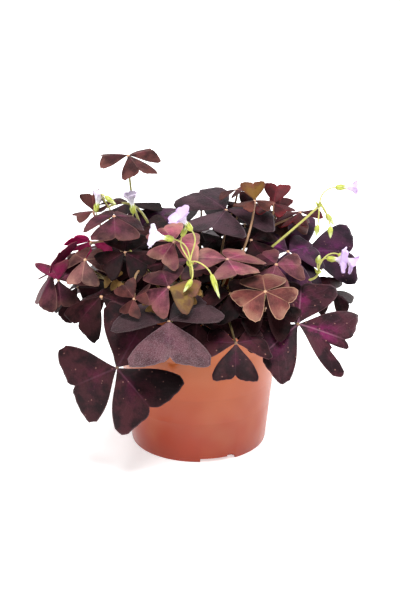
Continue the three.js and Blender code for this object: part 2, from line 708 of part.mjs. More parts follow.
function potSolid() {
  const { height, footRadius, wall, footRing, floorLift, floorThickness, rimBand, rimStep } = POT;
  const floorTop = floorLift + floorThickness;
  const bandFoot = height - rimBand;
  const profile = [
    [0, floorLift],
    [footRadius - footRing, floorLift],
    [footRadius - footRing, 0],
    [footRadius - 0.8, 0],
    [potRadius(0.8), 0.8],
    [potRadius(bandFoot), bandFoot],
    [potRadius(bandFoot) + rimStep, bandFoot + 0.8],
    [potRadius(height) + rimStep, height - 0.8],
    [potRadius(height) + rimStep - 0.8, height],
    [potRadius(height) - wall, height],
    [potRadius(floorTop) - wall, floorTop],
    [0, floorTop],
  ];
  let pot = solidOf(lathe(profile, POT.sides));
  for (let i = 0; i < DRAIN_HOLES.count; i++) {
    const angle = (2 * Math.PI * i) / DRAIN_HOLES.count;
    const drill = new THREE.CylinderGeometry(DRAIN_HOLES.radius, DRAIN_HOLES.radius, 20, 10);
    drill.rotateX(Math.PI / 2);
    drill.translate(DRAIN_HOLES.circle * Math.cos(angle), DRAIN_HOLES.circle * Math.sin(angle), 0);
    pot = pot.subtract(solidOf(drill));
  }
  for (let i = 0; i < FOOT_NOTCH.count; i++) {
    const azimuth = (FOOT_NOTCH.firstAzimuth + (360 / FOOT_NOTCH.count) * i) * RAD;
    const slot = new THREE.BoxGeometry(12, FOOT_NOTCH.width, 2 * FOOT_NOTCH.height);
    slot.translate(footRadius - 1, 0, 0).rotateZ(azimuth);
    const vent = new THREE.BoxGeometry(6, FOOT_NOTCH.vent, 2 * FOOT_NOTCH.ventHeight);
    vent.translate(footRadius + 1, FOOT_NOTCH.width / 2 - FOOT_NOTCH.vent, FOOT_NOTCH.height);
    vent.rotateZ(azimuth);
    pot = pot.subtract(solidOf(slot)).subtract(solidOf(vent));
  }
  return pot;
}

function crownAt(clump, grow) {
  const { halfLength, halfWidth, below, above, offset } = CROWN;
  const profile = [
    [0, -below - grow],
    [0.7 + grow / halfWidth, -below - grow],
    [1 + grow / halfWidth, -below / 2],
    [1 + grow / halfWidth, 0],
    [0.8 + grow / halfWidth, above],
    [0, above + 1],
  ];
  const body = lathe(profile, 14);
  return body.scale(halfLength, halfWidth, 1).translate(0, clump * offset, SOIL_TOP);
}

// The soil: a plug that fills the pot, with a crumbly uneven top and a plain hole for every
// clump and flower stem.
function soilSolid() {
  const { sectors, rings, bump, sink, edge, clear } = SOIL;
  const floor = POT.floorLift + POT.floorThickness + GAP;
  const side = (z) => potRadius(z) - POT.wall - GAP - clear;
  const places = [];
  rings.forEach((share, row) => {
    for (let i = 0; i < sectors; i++) {
      const angle = (2 * Math.PI * (i + 0.5 * (row % 2))) / sectors;
      const r = side(SOIL_TOP) * share;
      const z = SOIL_TOP - sink + bump * wobble(row, i);
      places.push(vec(r * Math.cos(angle), r * Math.sin(angle), z));
    }
  });
  for (const z of [SOIL_TOP - edge, floor])
    for (let i = 0; i < sectors; i++) {
      const angle = (2 * Math.PI * i) / sectors;
      places.push(vec(side(z) * Math.cos(angle), side(z) * Math.sin(angle), z));
    }
  const rows = rings.length + 2;
  places.push(vec(0, 0, SOIL_TOP - sink), vec(0, 0, floor));
  const [top, bottom] = [places.length - 2, places.length - 1];
  const triangles = [];
  for (let i = 0; i < sectors; i++) {
    const j = (i + 1) % sectors;
    triangles.push([top, i, j]);
    for (let row = 0; row < rows - 1; row++) {
      const [a, b] = [row * sectors, (row + 1) * sectors];
      triangles.push([a + i, b + i, b + j], [a + i, b + j, a + j]);
    }
    triangles.push([bottom, (rows - 1) * sectors + j, (rows - 1) * sectors + i]);
  }
  const geometry = new THREE.BufferGeometry().setFromPoints(places);
  geometry.setIndex(triangles.flat());
  let soil = solidOf(geometry);
  for (const clump of [-1, 1]) soil = soil.subtract(solidOf(crownAt(clump, 1)));
  for (const stem of FLOWER_STEMS) {
    const { radius, depth, sides } = STEM_HOLE;
    const hole = new THREE.CylinderGeometry(radius, radius, 2 * depth, sides);
    hole.rotateX(Math.PI / 2).translate(...stem.root, SOIL_TOP);
    soil = soil.subtract(solidOf(hole));
  }
  return soil;
}

// The whole plant

const plant = new THREE.Group();

// Adds a named piece, with its own zero at the given place.
function node(name, solid, finish, at = vec(0, 0, 0)) {
  const geometry = geometryOf(solid).translate(-at.x, -at.y, -at.z);
  const mesh = new THREE.Mesh(geometry, finish);
  mesh.name = name;
  mesh.position.copy(at);
  plant.add(mesh);
}

const thicket = new Thicket();
FLOWER_STEMS.forEach((stem) => claimStem(stem, thicket));
const choices = nudges();
const settled = LEAVES.map((row, index) => settle(row, index, thicket, choices));

node("pot", potSolid(), FINISH.pot);
node("soil", soilSolid(), FINISH.soil);
for (const [clump, name] of [
  [-1, "leaf_stalks_front"],
  [1, "leaf_stalks_back"],
]) {
  const stalks = settled
    .filter((place) => place.clump === clump)
    .map((place) => solidOf(sweep(place.curve, STALK.radius, STALK.sides, STALK.steps)));
  node(name, joined([solidOf(crownAt(clump, 0)), ...stalks]), FINISH.stalk);
}
settled.forEach(({ leaf }) => {
  let finish = FINISH.leaf;
  if (YOUNG.has(leaf.name)) finish = FINISH.youngLeaf;
  if (OLD.has(leaf.name)) finish = FINISH.oldLeaf;
  node("leaf_" + leaf.name, leafSolid(leaf), finish, leaf.hub);
});
FLOWER_STEMS.forEach((stem) => {
  node("flower_stem_" + stem.name, stemSolid(stem), FINISH.flowerStem, vec(...stem.head));
  stem.flowers.forEach((flower, i) => {
    node(`flower_${stem.name}_${i + 1}`, flowerSolid(flower), FINISH.petal, vec(...flower.base));
  });
});

export default plant;
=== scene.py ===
"""A purple shamrock in its nursery pot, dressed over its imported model.

Metres, +Z up. The origin is on the floor, on the pot's axis, and the photograph looks along +Y.
Plans, such as a leaf's place and size, are in millimetres, as they are measured.
"""

import json
import logging
import math
import random
from collections.abc import Callable
from dataclasses import dataclass
from dataclasses import field
from dataclasses import replace
from enum import Enum

import bpy
from mathutils import Matrix
from mathutils import Vector
from mathutils import geometry
from mathutils import kdtree
from mathutils import noise
from mathutils.bvhtree import BVHTree


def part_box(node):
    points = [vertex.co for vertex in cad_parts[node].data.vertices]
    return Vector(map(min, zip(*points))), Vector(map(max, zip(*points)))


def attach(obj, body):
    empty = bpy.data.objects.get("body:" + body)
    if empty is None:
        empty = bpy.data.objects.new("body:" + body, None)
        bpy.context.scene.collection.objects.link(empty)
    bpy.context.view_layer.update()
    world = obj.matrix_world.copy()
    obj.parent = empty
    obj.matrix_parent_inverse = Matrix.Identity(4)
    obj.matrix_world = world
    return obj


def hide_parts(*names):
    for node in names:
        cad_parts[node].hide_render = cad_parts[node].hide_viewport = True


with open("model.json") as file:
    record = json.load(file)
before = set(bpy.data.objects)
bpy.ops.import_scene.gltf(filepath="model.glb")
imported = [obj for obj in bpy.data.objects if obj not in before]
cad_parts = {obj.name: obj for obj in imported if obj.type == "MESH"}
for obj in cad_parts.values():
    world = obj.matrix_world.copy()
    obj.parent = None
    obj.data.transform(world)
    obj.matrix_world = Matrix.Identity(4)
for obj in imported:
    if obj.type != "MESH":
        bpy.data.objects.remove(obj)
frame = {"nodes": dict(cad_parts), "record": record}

MM = 0.001
SOIL_TOP = 92.0
log = logging.getLogger("shamrock")

Place = Callable[[float, float], Vector]
Triple = float | tuple[float, float, float]


# Small mathematics

def smooth(low: float, high: float, x: float) -> float:
    """A smooth step from 0 at low to 1 at high."""
    share = min(1.0, max(0.0, (x - low) / (high - low)))
    return share * share * (3 - 2 * share)


def wobble(leaf: int, leaflet: int) -> float:
    """A steady number from -1 to 1 for a leaf and one of its leaflets."""
    wild = math.sin(12.9898 * (leaf + 1) + 78.233 * (leaflet + 1)) * 43758.5453
    return 2 * (wild - math.floor(wild)) - 1


def colour(code: str) -> tuple[float, float, float, float]:
    """The linear colour of a six-figure screen colour.

    Args:
        code: the colour as on a screen, such as "b8603f".

    Returns:
        Red, green, blue and an alpha of 1, as a shader takes them.
    """
    parts = [int(code[i:i + 2], 16) / 255 for i in (0, 2, 4)]
    linear = [p / 12.92 if p <= 0.04045 else ((p + 0.055) / 1.055) ** 2.4 for p in parts]
    return (linear[0], linear[1], linear[2], 1.0)


def turn_to(axis: Vector) -> Matrix:
    """The turn that takes +Z to an axis by the shortest way."""
    return Vector((0, 0, 1)).rotation_difference(axis).to_matrix()


# Work at the bench: primitives, edit mode and modifiers

class Bench:
    """The few operators that every piece is made with."""

    @staticmethod
    def take(piece: bpy.types.Object) -> None:
        """Selects one object alone and makes it the active one."""
        bpy.ops.object.select_all(action="DESELECT")
        piece.select_set(True)
        bpy.context.view_layer.objects.active = piece

    @staticmethod
    def add(operator: Callable, name: str, **settings: object) -> bpy.types.Object:
        """Adds a primitive, names it and moves its place into its mesh."""
        bpy.ops.object.select_all(action="DESELECT")
        operator(**settings)
        piece = bpy.context.object
        piece.name = name
        piece.data.name = name
        Bench.take(piece)
        bpy.ops.object.transform_apply(location=True, rotation=True, scale=True)
        return piece

    @staticmethod
    def sheet(name: str, across: int, along: int, place: Place) -> bpy.types.Object:
        """A grid whose points are laid by a formula.

        Args:
            name: the piece's name.
            across: how many faces it has from side to side.
            along: how many faces it has from its foot to its far edge.
            place: gives a point for two shares from 0 to 1, the first across, the second along.

        Returns:
            The sheet, whose UV map holds the two shares.
        """
        grid = bpy.ops.mesh.primitive_grid_add
        piece = Bench.add(grid, name, x_subdivisions=across, y_subdivisions=along, size=1)
        for vertex in piece.data.vertices:
            vertex.co = place(vertex.co.x + 0.5, vertex.co.y + 0.5)
        return piece

    @staticmethod
    def turned(name: str, profile: list[tuple[float, float]], sides: int) -> bpy.types.Object:
        """A closed turned body: a circle that is extruded and resized from point to point.

        Args:
            name: the piece's name.
            profile: radius and height of every point, from one pole to the other, in millimetres.
            sides: how many sides it has.

        Returns:
            The body, with both of its ends drawn to a pole.
        """
        (radius, height), *rest = [(r * MM, z * MM) for r, z in profile]
        circle = bpy.ops.mesh.primitive_circle_add
        piece = Bench.add(circle, name, vertices=sides, radius=radius, location=(0, 0, height))
        foot = range(len(piece.data.vertices))
        bpy.ops.object.mode_set(mode="EDIT")
        bpy.ops.mesh.select_all(action="SELECT")
        for r, z in rest:
            bpy.ops.mesh.extrude_region_move(TRANSFORM_OT_translate={"value": (0, 0, z - height)})
            bpy.ops.transform.resize(value=(r / radius, r / radius, 1), center_override=(0, 0, z))
            radius, height = r, z
        bpy.ops.mesh.merge(type="CENTER")
        bpy.ops.mesh.select_all(action="DESELECT")
        bpy.ops.object.mode_set(mode="OBJECT")
        for i in foot:
            piece.data.vertices[i].select = True
        bpy.ops.object.mode_set(mode="EDIT")
        bpy.ops.mesh.merge(type="CENTER")
        bpy.ops.object.mode_set(mode="OBJECT")
        Bench.face_out(piece)
        return piece

    @staticmethod
    def bead(
        name: str, profile: list[tuple[float, float]], sides: int, at: Vector, axis: Vector
    ) -> bpy.types.Object:
        """A turned body that stands at a point, in millimetres, along an axis."""
        piece = Bench.turned(name, profile, sides)
        piece.data.transform(Matrix.Translation(at * MM) @ turn_to(axis).to_4x4())
        return piece

    @staticmethod
    def face_out(piece: bpy.types.Object) -> None:
        """Merges a piece's doubles and turns its faces outwards."""
        Bench.take(piece)
        bpy.ops.object.mode_set(mode="EDIT")
        bpy.ops.mesh.select_all(action="SELECT")
        bpy.ops.mesh.remove_doubles(threshold=0.01 * MM)
        bpy.ops.mesh.normals_make_consistent(inside=False)
        bpy.ops.object.mode_set(mode="OBJECT")

    @staticmethod
    def tubes(name: str, runs: list["Run"], rings: int, steps: int) -> bpy.types.Object:
        """Round tubes along curves with two handles each, as one mesh.

        Args:
            name: the piece's name.
            runs: the curves, with their thickness at both ends.
            rings: half the number of sides of a tube, less one.
            steps: how many stretches each tube has.

        Returns:
            The tubes, closed at their ends.
        """
        piece = Bench.add(bpy.ops.curve.primitive_bezier_curve_add, name, radius=1)
        line = piece.data
        line.dimensions = "3D"
        line.bevel_depth = MM
        line.bevel_resolution = rings
        line.use_fill_caps = True
        line.resolution_u = steps
        line.splines.clear()
        for run in runs:
            spline = line.splines.new("BEZIER")
            spline.bezier_points.add(1)
            ends = (
                (run.start, 2 * run.start - run.first, run.first, run.foot),
                (run.end, run.second, 2 * run.end - run.second, run.tip),
            )
            for point, (at, before, after, thick) in zip(spline.bezier_points, ends):
                point.co = at
                point.handle_left_type = "FREE"
                point.handle_right_type = "FREE"
                point.handle_left = before
                point.handle_right = after
                point.radius = thick
        Bench.take(piece)
        bpy.ops.object.convert(target="MESH")
        piece = bpy.context.object
        Bench.face_out(piece)
        return piece

    @staticmethod
    def join(pieces: list[bpy.types.Object], name: str) -> bpy.types.Object:
        """Joins pieces in one object."""
        Bench.take(pieces[0])
        for piece in pieces:
            piece.select_set(True)
        if len(pieces) > 1:
            bpy.ops.object.join()
        pieces[0].name = name
        pieces[0].data.name = name
        return pieces[0]

    @staticmethod
    def modify(piece: bpy.types.Object, kind: str, **settings: object) -> None:
        """Adds a modifier with its settings and applies it."""
        Bench.take(piece)
        modifier = piece.modifiers.new(kind.lower(), kind)
        for key, value in settings.items():
            setattr(modifier, key, value)
        bpy.ops.object.modifier_apply(modifier=modifier.name)

    @staticmethod
    def smooth(piece: bpy.types.Object, angle: float | None = None) -> None:
        """Shades a piece smooth, all over or up to an angle in degrees."""
        Bench.take(piece)
        if angle is None:
            bpy.ops.object.shade_smooth()
        else:
            bpy.ops.object.shade_smooth_by_angle(angle=math.radians(angle))

    @staticmethod
    def dress(piece: bpy.types.Object, *materials: bpy.types.Material, index: int = 0) -> None:
        """Gives a piece its materials, and all its faces the one of an index."""
        piece.data.materials.clear()
        for material in materials:
            piece.data.materials.append(material)
        faces = piece.data.polygons
        faces.foreach_set("material_index", [index] * len(faces))

    @staticmethod
    def mark(piece: bpy.types.Object, name: str, value: float) -> None:
        """Stores one number at all of a piece's points, for its material to read."""
        layer = piece.data.attributes.new(name, "FLOAT", "POINT")
        layer.data.foreach_set("value", [value] * len(piece.data.vertices))


@dataclass(frozen=True)
class Run:
    """A curve with two handles, in metres, and how thick a tube along it is, in millimetres."""

    start: Vector
    first: Vector
    second: Vector
    end: Vector
    foot: float
    tip: float

    def spaced(self, shares: list[float]) -> list[Vector]:
        """The points that lie at the given shares of the curve's length."""
        line = geometry.interpolate_bezier(self.start, self.first, self.second, self.end, 60)
        lengths = [0.0]
        for a, b in zip(line, line[1:]):
            lengths.append(lengths[-1] + (b - a).length)
        found = []
        i = 0
        for share in shares:
            goal = share * lengths[-1]
            while i < len(line) - 2 and lengths[i + 1] < goal:
                i += 1
            step = (goal - lengths[i]) / (lengths[i + 1] - lengths[i])
            found.append(line[i].lerp(line[i + 1], step))
        return found


# Shader maths

BELL_BASE = 2.718


class Wire:
    """An output socket with the arithmetic of a plain number."""

    def __init__(self, shader: "Shader", socket: bpy.types.NodeSocket) -> None:
        """Wraps a socket of one of a shader's nodes."""
        self.shader = shader
        self.socket = socket

    def math(self, operation: str, *others: "Number") -> "Wire":
        """A Math node on this value and others."""
        return self.shader.number(operation, self, *others)

    def __add__(self, other: "Number") -> "Wire":
        """The sum."""
        return self.math("ADD", other)

    __radd__ = __add__

    def __sub__(self, other: "Number") -> "Wire":
        """This less the other."""
        return self.math("SUBTRACT", other)

    def __rsub__(self, other: float) -> "Wire":
        """The other less this."""
        return self.shader.number("SUBTRACT", other, self)

    def __mul__(self, other: "Number") -> "Wire":
        """The product."""
        return self.math("MULTIPLY", other)

    def __truediv__(self, other: "Number") -> "Wire":
        """This over the other."""
        return self.math("DIVIDE", other)

    def __pow__(self, other: "Number") -> "Wire":
        """This to a power."""
        return self.math("POWER", other)

    def __abs__(self) -> "Wire":
        """The value without its sign."""
        return self.math("ABSOLUTE")

    def rise(self, low: float, high: float) -> "Wire":
        """A smooth step from 0 at low to 1 at high."""
        settings = {"interpolation_type": "SMOOTHSTEP"}
        values = {"Value": self, "From Min": low, "From Max": high}
        return self.shader.node("ShaderNodeMapRange", settings, values)

    def hill(self, width: float) -> "Wire":
        """1 where the value is 0, and less to both sides, as a bell of a width."""
        return self.shader.number("POWER", BELL_BASE, 0 - (self / width) ** 2)


Number = Wire | float
Tint = Wire | tuple[float, float, float, float]


class Shader:
    """A material's node tree, built by expressions."""

    def __init__(self, name: str) -> None:
        """Starts a material with one Principled shader."""
        self.material = bpy.data.materials.new(name)
        self.material.use_nodes = True
        self.tree = self.material.node_tree
        self.skin = self.tree.nodes["Principled BSDF"]

    def node(
        self,
        kind: str,
        settings: dict[str, object] | None = None,
        values: dict[int | str, object] | None = None,
        output: int | str = 0,
    ) -> Wire:
        """Adds a node.

        Args:
            kind: the node's type.
            settings: its own settings, which are set first.
            values: what goes in its sockets, as numbers, colours or wires.
            output: which of its outputs is wanted.

        Returns:
            The output, as a wire.
        """
        node = self.tree.nodes.new(kind)
        for key, value in (settings or {}).items():
            setattr(node, key, value)
        for key, value in (values or {}).items():
            self.plug(node.inputs[key], value)
        return Wire(self, node.outputs[output])

    def plug(self, socket: bpy.types.NodeSocket, value: object) -> None:
        """Links a wire to a socket, or sets its value."""
        if isinstance(value, Wire):
            self.tree.links.new(value.socket, socket)
        else:
            socket.default_value = value

    def number(self, operation: str, *values: Number) -> Wire:
        """A Math node on values of which the first may be a plain number."""
        return self.node("ShaderNodeMath", {"operation": operation}, dict(enumerate(values)))

    def mix(self, share: Number, a: Tint, b: Tint, blend: str = "MIX") -> Wire:
        """Lays a second colour over a first by a share."""
        settings = {"data_type": "RGBA", "blend_type": blend, "clamp_factor": True}
        return self.node("ShaderNodeMix", settings, {0: share, 6: a, 7: b}, 2)

    def shade(self, tint: Tint, amount: Wire) -> Wire:
        """Multiplies a colour by a number."""
        grey = self.node("ShaderNodeCombineColor", None, {0: amount, 1: amount, 2: amount})
        return self.mix(1.0, tint, grey, "MULTIPLY")

    def place(self) -> Wire:
        """The point's place on the object, in metres."""
        return self.node("ShaderNodeTexCoord", None, None, "Object")

    def shares(self) -> tuple[Wire, Wire]:
        """The two shares of the piece's UV map."""
        uv = self.node("ShaderNodeTexCoord", None, None, "UV")
        return self.part(uv, 0), self.part(uv, 1)

    def part(self, vector: Wire, index: int) -> Wire:
        """One of a vector's three numbers."""
        return self.node("ShaderNodeSeparateXYZ", None, {0: vector}, index)

    def stored(self, name: str) -> Wire:
        """A number that is stored at the piece's points."""
        return self.node("ShaderNodeAttribute", {"attribute_name": name}, None, "Fac")

    def cloud(self, scale: float, detail: float = 2.0, rough: float = 0.5) -> Wire:
        """Soft noise, from about 0.3 to 0.7, with the given number of lumps in a metre."""
        values = {"Vector": self.place(), "Scale": scale, "Detail": detail, "Roughness": rough}
        return self.node("ShaderNodeTexNoise", None, values)

    def cells(self, scale: float) -> Wire:
        """The distance to the nearest of strewn points, with the given number in a metre."""
        values = {"Vector": self.place(), "Scale": scale}
        return self.node("ShaderNodeTexVoronoi", None, values, "Distance")

    def bump(self, height: Wire, depth: float) -> None:
        """Lifts the skin by a height from 0 to 1 times a depth in millimetres."""
        values = {"Strength": 1.0, "Distance": depth * MM, "Height": height}
        self.skin_set(Normal=self.node("ShaderNodeBump", None, values))

    def skin_set(self, **values: object) -> None:
        """Sets sockets of the skin, named with _ for a space."""
        for key, value in values.items():
            self.plug(self.skin.inputs[key.replace("_", " ")], value)


# Finishes

@dataclass(frozen=True)
class LeafFinish:
    """How a leaf looks: its blade, the flush beside its midrib, its ribs and its under side."""

    name: str
    blade: str
    dark: str
    flush: str
    rib: str
    margin: str
    under: str
    flush_share: float = 0.5
    rib_share: float = 0.3
    margin_share: float = 0.35
    spots: float = 0.0
    dust_and_sheen: float = 0.0
    fringe: float = 0.0
    sheen: float = 0.03
    gloss: float = 0.11
    # The colour of the painted light that shines through the lit leaflets.
    painted_glow: str = "a00a58"

    def upper(self) -> bpy.types.Material:
        """The velvety upper face."""
        shader = Shader(f"{self.name}_upper")
        across, along = shader.shares()
        side = abs(across - 0.5) * 2
        base = self.blade_colour(shader, side, along)
        tint, veins = self.veined(shader, base, side, along, self.rib_share)
        if self.spots:
            tint = self.spotted(shader, tint)
        if self.fringe:
            worn = along.rise(0.55, 1.0) * shader.cloud(120, 3).rise(0.38, 0.6) * self.fringe
            tint = shader.mix(worn, tint, colour(self.margin))
        velvet = shader.cloud(2600, 1)
        tint = shader.shade(tint, 0.62 + velvet * 0.76)
        # Fine pale speckles over the blade: real dust, and a grey veil of painted sheen.
        if self.dust_and_sheen:
            tint = shader.mix(velvet.rise(0.5, 0.72) * self.dust_and_sheen, tint, colour("a8929a"))
        edge = self.edge(side, along)
        tint = shader.mix(edge * self.margin_share, tint, colour(self.margin))
        # Painted light and shade: each leaflet is lighter or darker by its lift. A random lift is its own
        # tone, a given lift is painted light and shade. One half of each leaflet is darkened as painted
        # shade.
        half = shader.stored("half")
        painted_half_shade = ((0.5 - across) * half).rise(0.0, 0.04) * abs(half)
        tint = shader.shade(tint, 1 + shader.stored("lift") * 0.22 - painted_half_shade * 0.5)
        # Painted light: the glow of light shining through, on the lit leaflets.
        tint = self.lit_up(shader, tint, side, along)
        shader.skin_set(
            Base_Color=tint,
            Roughness=0.38 + shader.cloud(900) * 0.28,
            Specular_IOR_Level=self.gloss,
            Sheen_Weight=self.sheen,
            Sheen_Roughness=0.5,
            Sheen_Tint=colour("b7a3b0"),
        )
        shader.bump(velvet * 0.25 + shader.cloud(700) * 0.5 - veins * 0.4, 0.35)
        return shader.material

    def lower(self) -> bpy.types.Material:
        """The smoother under side, with raised veins."""
        shader = Shader(f"{self.name}_lower")
        across, along = shader.shares()
        side = abs(across - 0.5) * 2
        base = shader.mix(shader.cloud(130), colour(self.under), colour(self.dark))
        base = shader.mix(0.55, base, colour(self.under))
        tint, veins = self.veined(shader, base, side, along, 0.35)
        # Painted light: the glow of light shining through, on the lit leaflets.
        tint = self.lit_up(shader, tint, side, along)
        shader.skin_set(
            Base_Color=shader.shade(tint, 0.8 + shader.cloud(1500) * 0.4),
            Roughness=0.45,
            Specular_IOR_Level=0.25,
        )
        shader.bump(veins + shader.cloud(700) * 0.3, 0.25)
        return shader.material

    def blade_colour(self, shader: Shader, side: Wire, along: Wire) -> Wire:
        """The blade's own colour, with darker clouds and a patchy flush along the midrib."""
        cloud = shader.cloud(85, 5, 0.6)
        base = shader.mix(cloud.rise(0.4, 0.6) * 0.9, colour(self.blade), colour(self.dark))
        patch = shader.cloud(150, 4, 0.65).rise(0.4, 0.6)
        reach = along.rise(0.04, 0.3) * (1 - along.rise(0.5, 0.95))
        flush = side.hill(0.4) * reach * (0.12 + patch * 0.88)
        return shader.mix(flush * self.flush_share, base, colour(self.flush))

    def veined(
        self, shader: Shader, base: Wire, side: Wire, along: Wire, share: float
    ) -> tuple[Wire, Wire]:
        """Draws the midrib and the side veins.

        Args:
            shader: the shader to build in.
            base: the colour under the veins.
            side: how far a point is from the midrib, from 0 to 1.
            along: how far it is from the hub, from 0 to 1.
            share: how strongly the midrib shows.

        Returns:
            The colour with its veins, and the veins' height.
        """
        off = side * along
        midrib = (1 - off.rise(0.006, 0.03)) * (1 - along.rise(0.55, 0.95) * 0.7)
        wander = shader.cloud(230, 1) * 0.6
        phase = along * 7.5 - off * 4.2 + wander
        near = abs(phase.math("FRACT") - 0.5)
        ribs = (1 - near.rise(0.0, 0.07)) * off.rise(0.0, 0.06) * (1 - side.rise(0.6, 1.0))
        veins = midrib.math("MAXIMUM", ribs * 0.2)
        return shader.mix(veins * share, base, colour(self.rib)), veins

    def lit_up(self, shader: Shader, tint: Wire, side: Wire, along: Wire) -> Wire:
        """Paints the glow of light shining through: the glowing colour in patches over the middle of the
        leaflets that have it.
        """
        patch = 0.3 + shader.cloud(140, 4, 0.6).rise(0.36, 0.6) * 0.6
        middle = (1 - side.rise(0.6, 1.0) * 0.5) * (1 - along.rise(0.7, 1.0) * 0.5)
        return shader.mix(shader.stored("lit") * patch * middle, tint, colour(self.painted_glow))

    def edge(self, side: Wire, along: Wire) -> Wire:
        """1 on the leaflet's thin margin."""
        return side.rise(0.955, 0.99).math("MAXIMUM", along.rise(0.975, 0.993))

    def spotted(self, shader: Shader, tint: Wire) -> Wire:
        """Strews small pale spots over a colour."""
        here = 1 - shader.cells(300).rise(0.1, 0.2)
        chosen = shader.cloud(210, 0).rise(0.52, 0.58)
        return shader.mix(here * chosen * self.spots, tint, colour("a8786e"))


class Tone(Enum):
    """The kinds of leaf on the plant."""

    DARK = LeafFinish(
        "dark_leaf", "2c1517", "0b0505", "4e102c", "5c3a40", "54363a", "401022",
        flush_share=0.32, rib_share=0.16, margin_share=0.25, sheen=0.0, gloss=0.05,
    )
    MAROON = LeafFinish(
        "maroon_leaf", "35171c", "14080b", "5c1438", "5c3a48", "6a4448", "4c142c",
        flush_share=0.32, rib_share=0.25, spots=0.35,
    )
    FLAMED = LeafFinish(
        "flamed_leaf", "381820", "14080c", "6c1648", "8c5c70", "6a4248", "4c142c",
        flush_share=0.75, rib_share=0.4, margin_share=0.3, spots=0.4,
    )
    PURPLE = LeafFinish(
        "purple_leaf", "3c1e32", "180c18", "6a1a5a", "704a68", "5c3e50", "4c142c",
        flush_share=0.75, margin_share=0.25, spots=0.3,
    )
    GREY = LeafFinish(
        "grey_leaf", "53343a", "362024", "5a203e", "6a4a50", "74605f", "451630",
        flush_share=0.3, rib_share=0.25, dust_and_sheen=0.3, fringe=0.1, sheen=0.2,
    )
    SLATE = LeafFinish(
        "slate_leaf", "3c222b", "1a0c10", "521c3c", "543640", "5c484a", "451630",
        flush_share=0.3, margin_share=0.3, dust_and_sheen=0.05, sheen=0.14,
    )
    PLUM = LeafFinish(
        "plum_leaf", "5e323a", "2e151b", "762a4c", "845660", "85584e", "5c1638",
        flush_share=0.6, rib_share=0.35, margin_share=0.45, fringe=0.3, painted_glow="7c0c42",
    )
    # An ageing leaf: like the plum one, but its painted glow of light shining through is yellow-brown.
    AGEING = replace(PLUM, name="ageing_leaf", painted_glow="745a2a")
    PINK = LeafFinish(
        "pink_leaf", "96585c", "60303a", "982c60", "a87c7c", "a07c68", "6c183e",
        flush_share=0.7, rib_share=0.4, margin_share=0.5, fringe=0.55,
    )
    BROWN_RED = LeafFinish(
        "brown_red_leaf", "643430", "42201e", "7a343c", "a87c60", "b08a70", "5c1c24",
        flush_share=0.35, rib_share=0.5, margin_share=0.8, fringe=0.3,
    )
    RUSSET = LeafFinish(
        "russet_leaf", "522b28", "261010", "602032", "7c5048", "7c5048", "5c1c24",
        flush_share=0.45, rib_share=0.4, margin_share=0.4, fringe=0.25,
    )
    BROWN = LeafFinish(
        "brown_leaf", "6c4644", "48302f", "80444c", "a4806c", "a67c6c", "5c2832",
        flush_share=0.3, rib_share=0.4, margin_share=0.4, fringe=0.4,
    )
    RED = LeafFinish(
        "red_leaf", "46161a", "260a0d", "641822", "74303a", "7a1c24", "58121a",
        flush_share=0.4, margin_share=0.6, fringe=0.35,
    )
    OLIVE = LeafFinish(
        "olive_leaf", "5a3028", "381a16", "702428", "8a6448", "8a4a3c", "664c2c",
        flush_share=0.3, margin_share=0.4, fringe=0.3, painted_glow="6c4e20",
    )
    MAGENTA = LeafFinish(
        "magenta_leaf", "980a48", "6a062e", "ac1458", "b0486c", "c06a80", "a8084e",
        rib_share=0.4, margin_share=0.5, painted_glow="b80a60",
    )
    OLD = LeafFinish(
        "old_leaf", "7c5c30", "4c341c", "8a6a3c", "94703c", "a88850", "6c4c28",
        flush_share=0.3, rib_share=0.4, margin_share=0.6, fringe=0.4,
    )


class LeafWardrobe:
    """Makes each tone's materials once and hands them out."""

    def __init__(self) -> None:
        """Starts with no material made."""
        self.made: dict[Tone, tuple[bpy.types.Material, bpy.types.Material]] = {}

    def of(self, tone: Tone) -> tuple[bpy.types.Material, bpy.types.Material]:
        """The upper and the lower material of a tone."""
        if tone not in self.made:
            self.made[tone] = (tone.value.upper(), tone.value.lower())
        return self.made[tone]


@dataclass(frozen=True)
class StalkFinish:
    """A smooth juicy stalk: painted shade that darkens it at its foot, and one colour fading to another.
    """

    name: str
    low: str
    high: str
    foot: str
    fade: tuple[float, float] = (96.0, 150.0)

    def material(self) -> bpy.types.Material:
        """The stalk's material."""
        shader = Shader(self.name)
        height = shader.part(shader.place(), 2) / MM
        drift = (shader.cloud(45) - 0.5) * 60
        tint = shader.mix((height + drift).rise(*self.fade), colour(self.low), colour(self.high))
        # Painted shade: low down, near the soil, the stalk goes to its dark foot colour.
        tint = shader.mix(1 - height.rise(92.0, 116.0), tint, colour(self.foot))
        grain = shader.cloud(800, 3)
        shader.skin_set(
            Base_Color=shader.shade(tint, 0.75 + grain * 0.5),
            Roughness=0.34 + grain * 0.2,
            Specular_IOR_Level=0.5,
            Subsurface_Weight=0.15,
            Subsurface_Radius=(0.002, 0.0012, 0.0004),
        )
        shader.bump(grain, 0.08)
        return shader.material


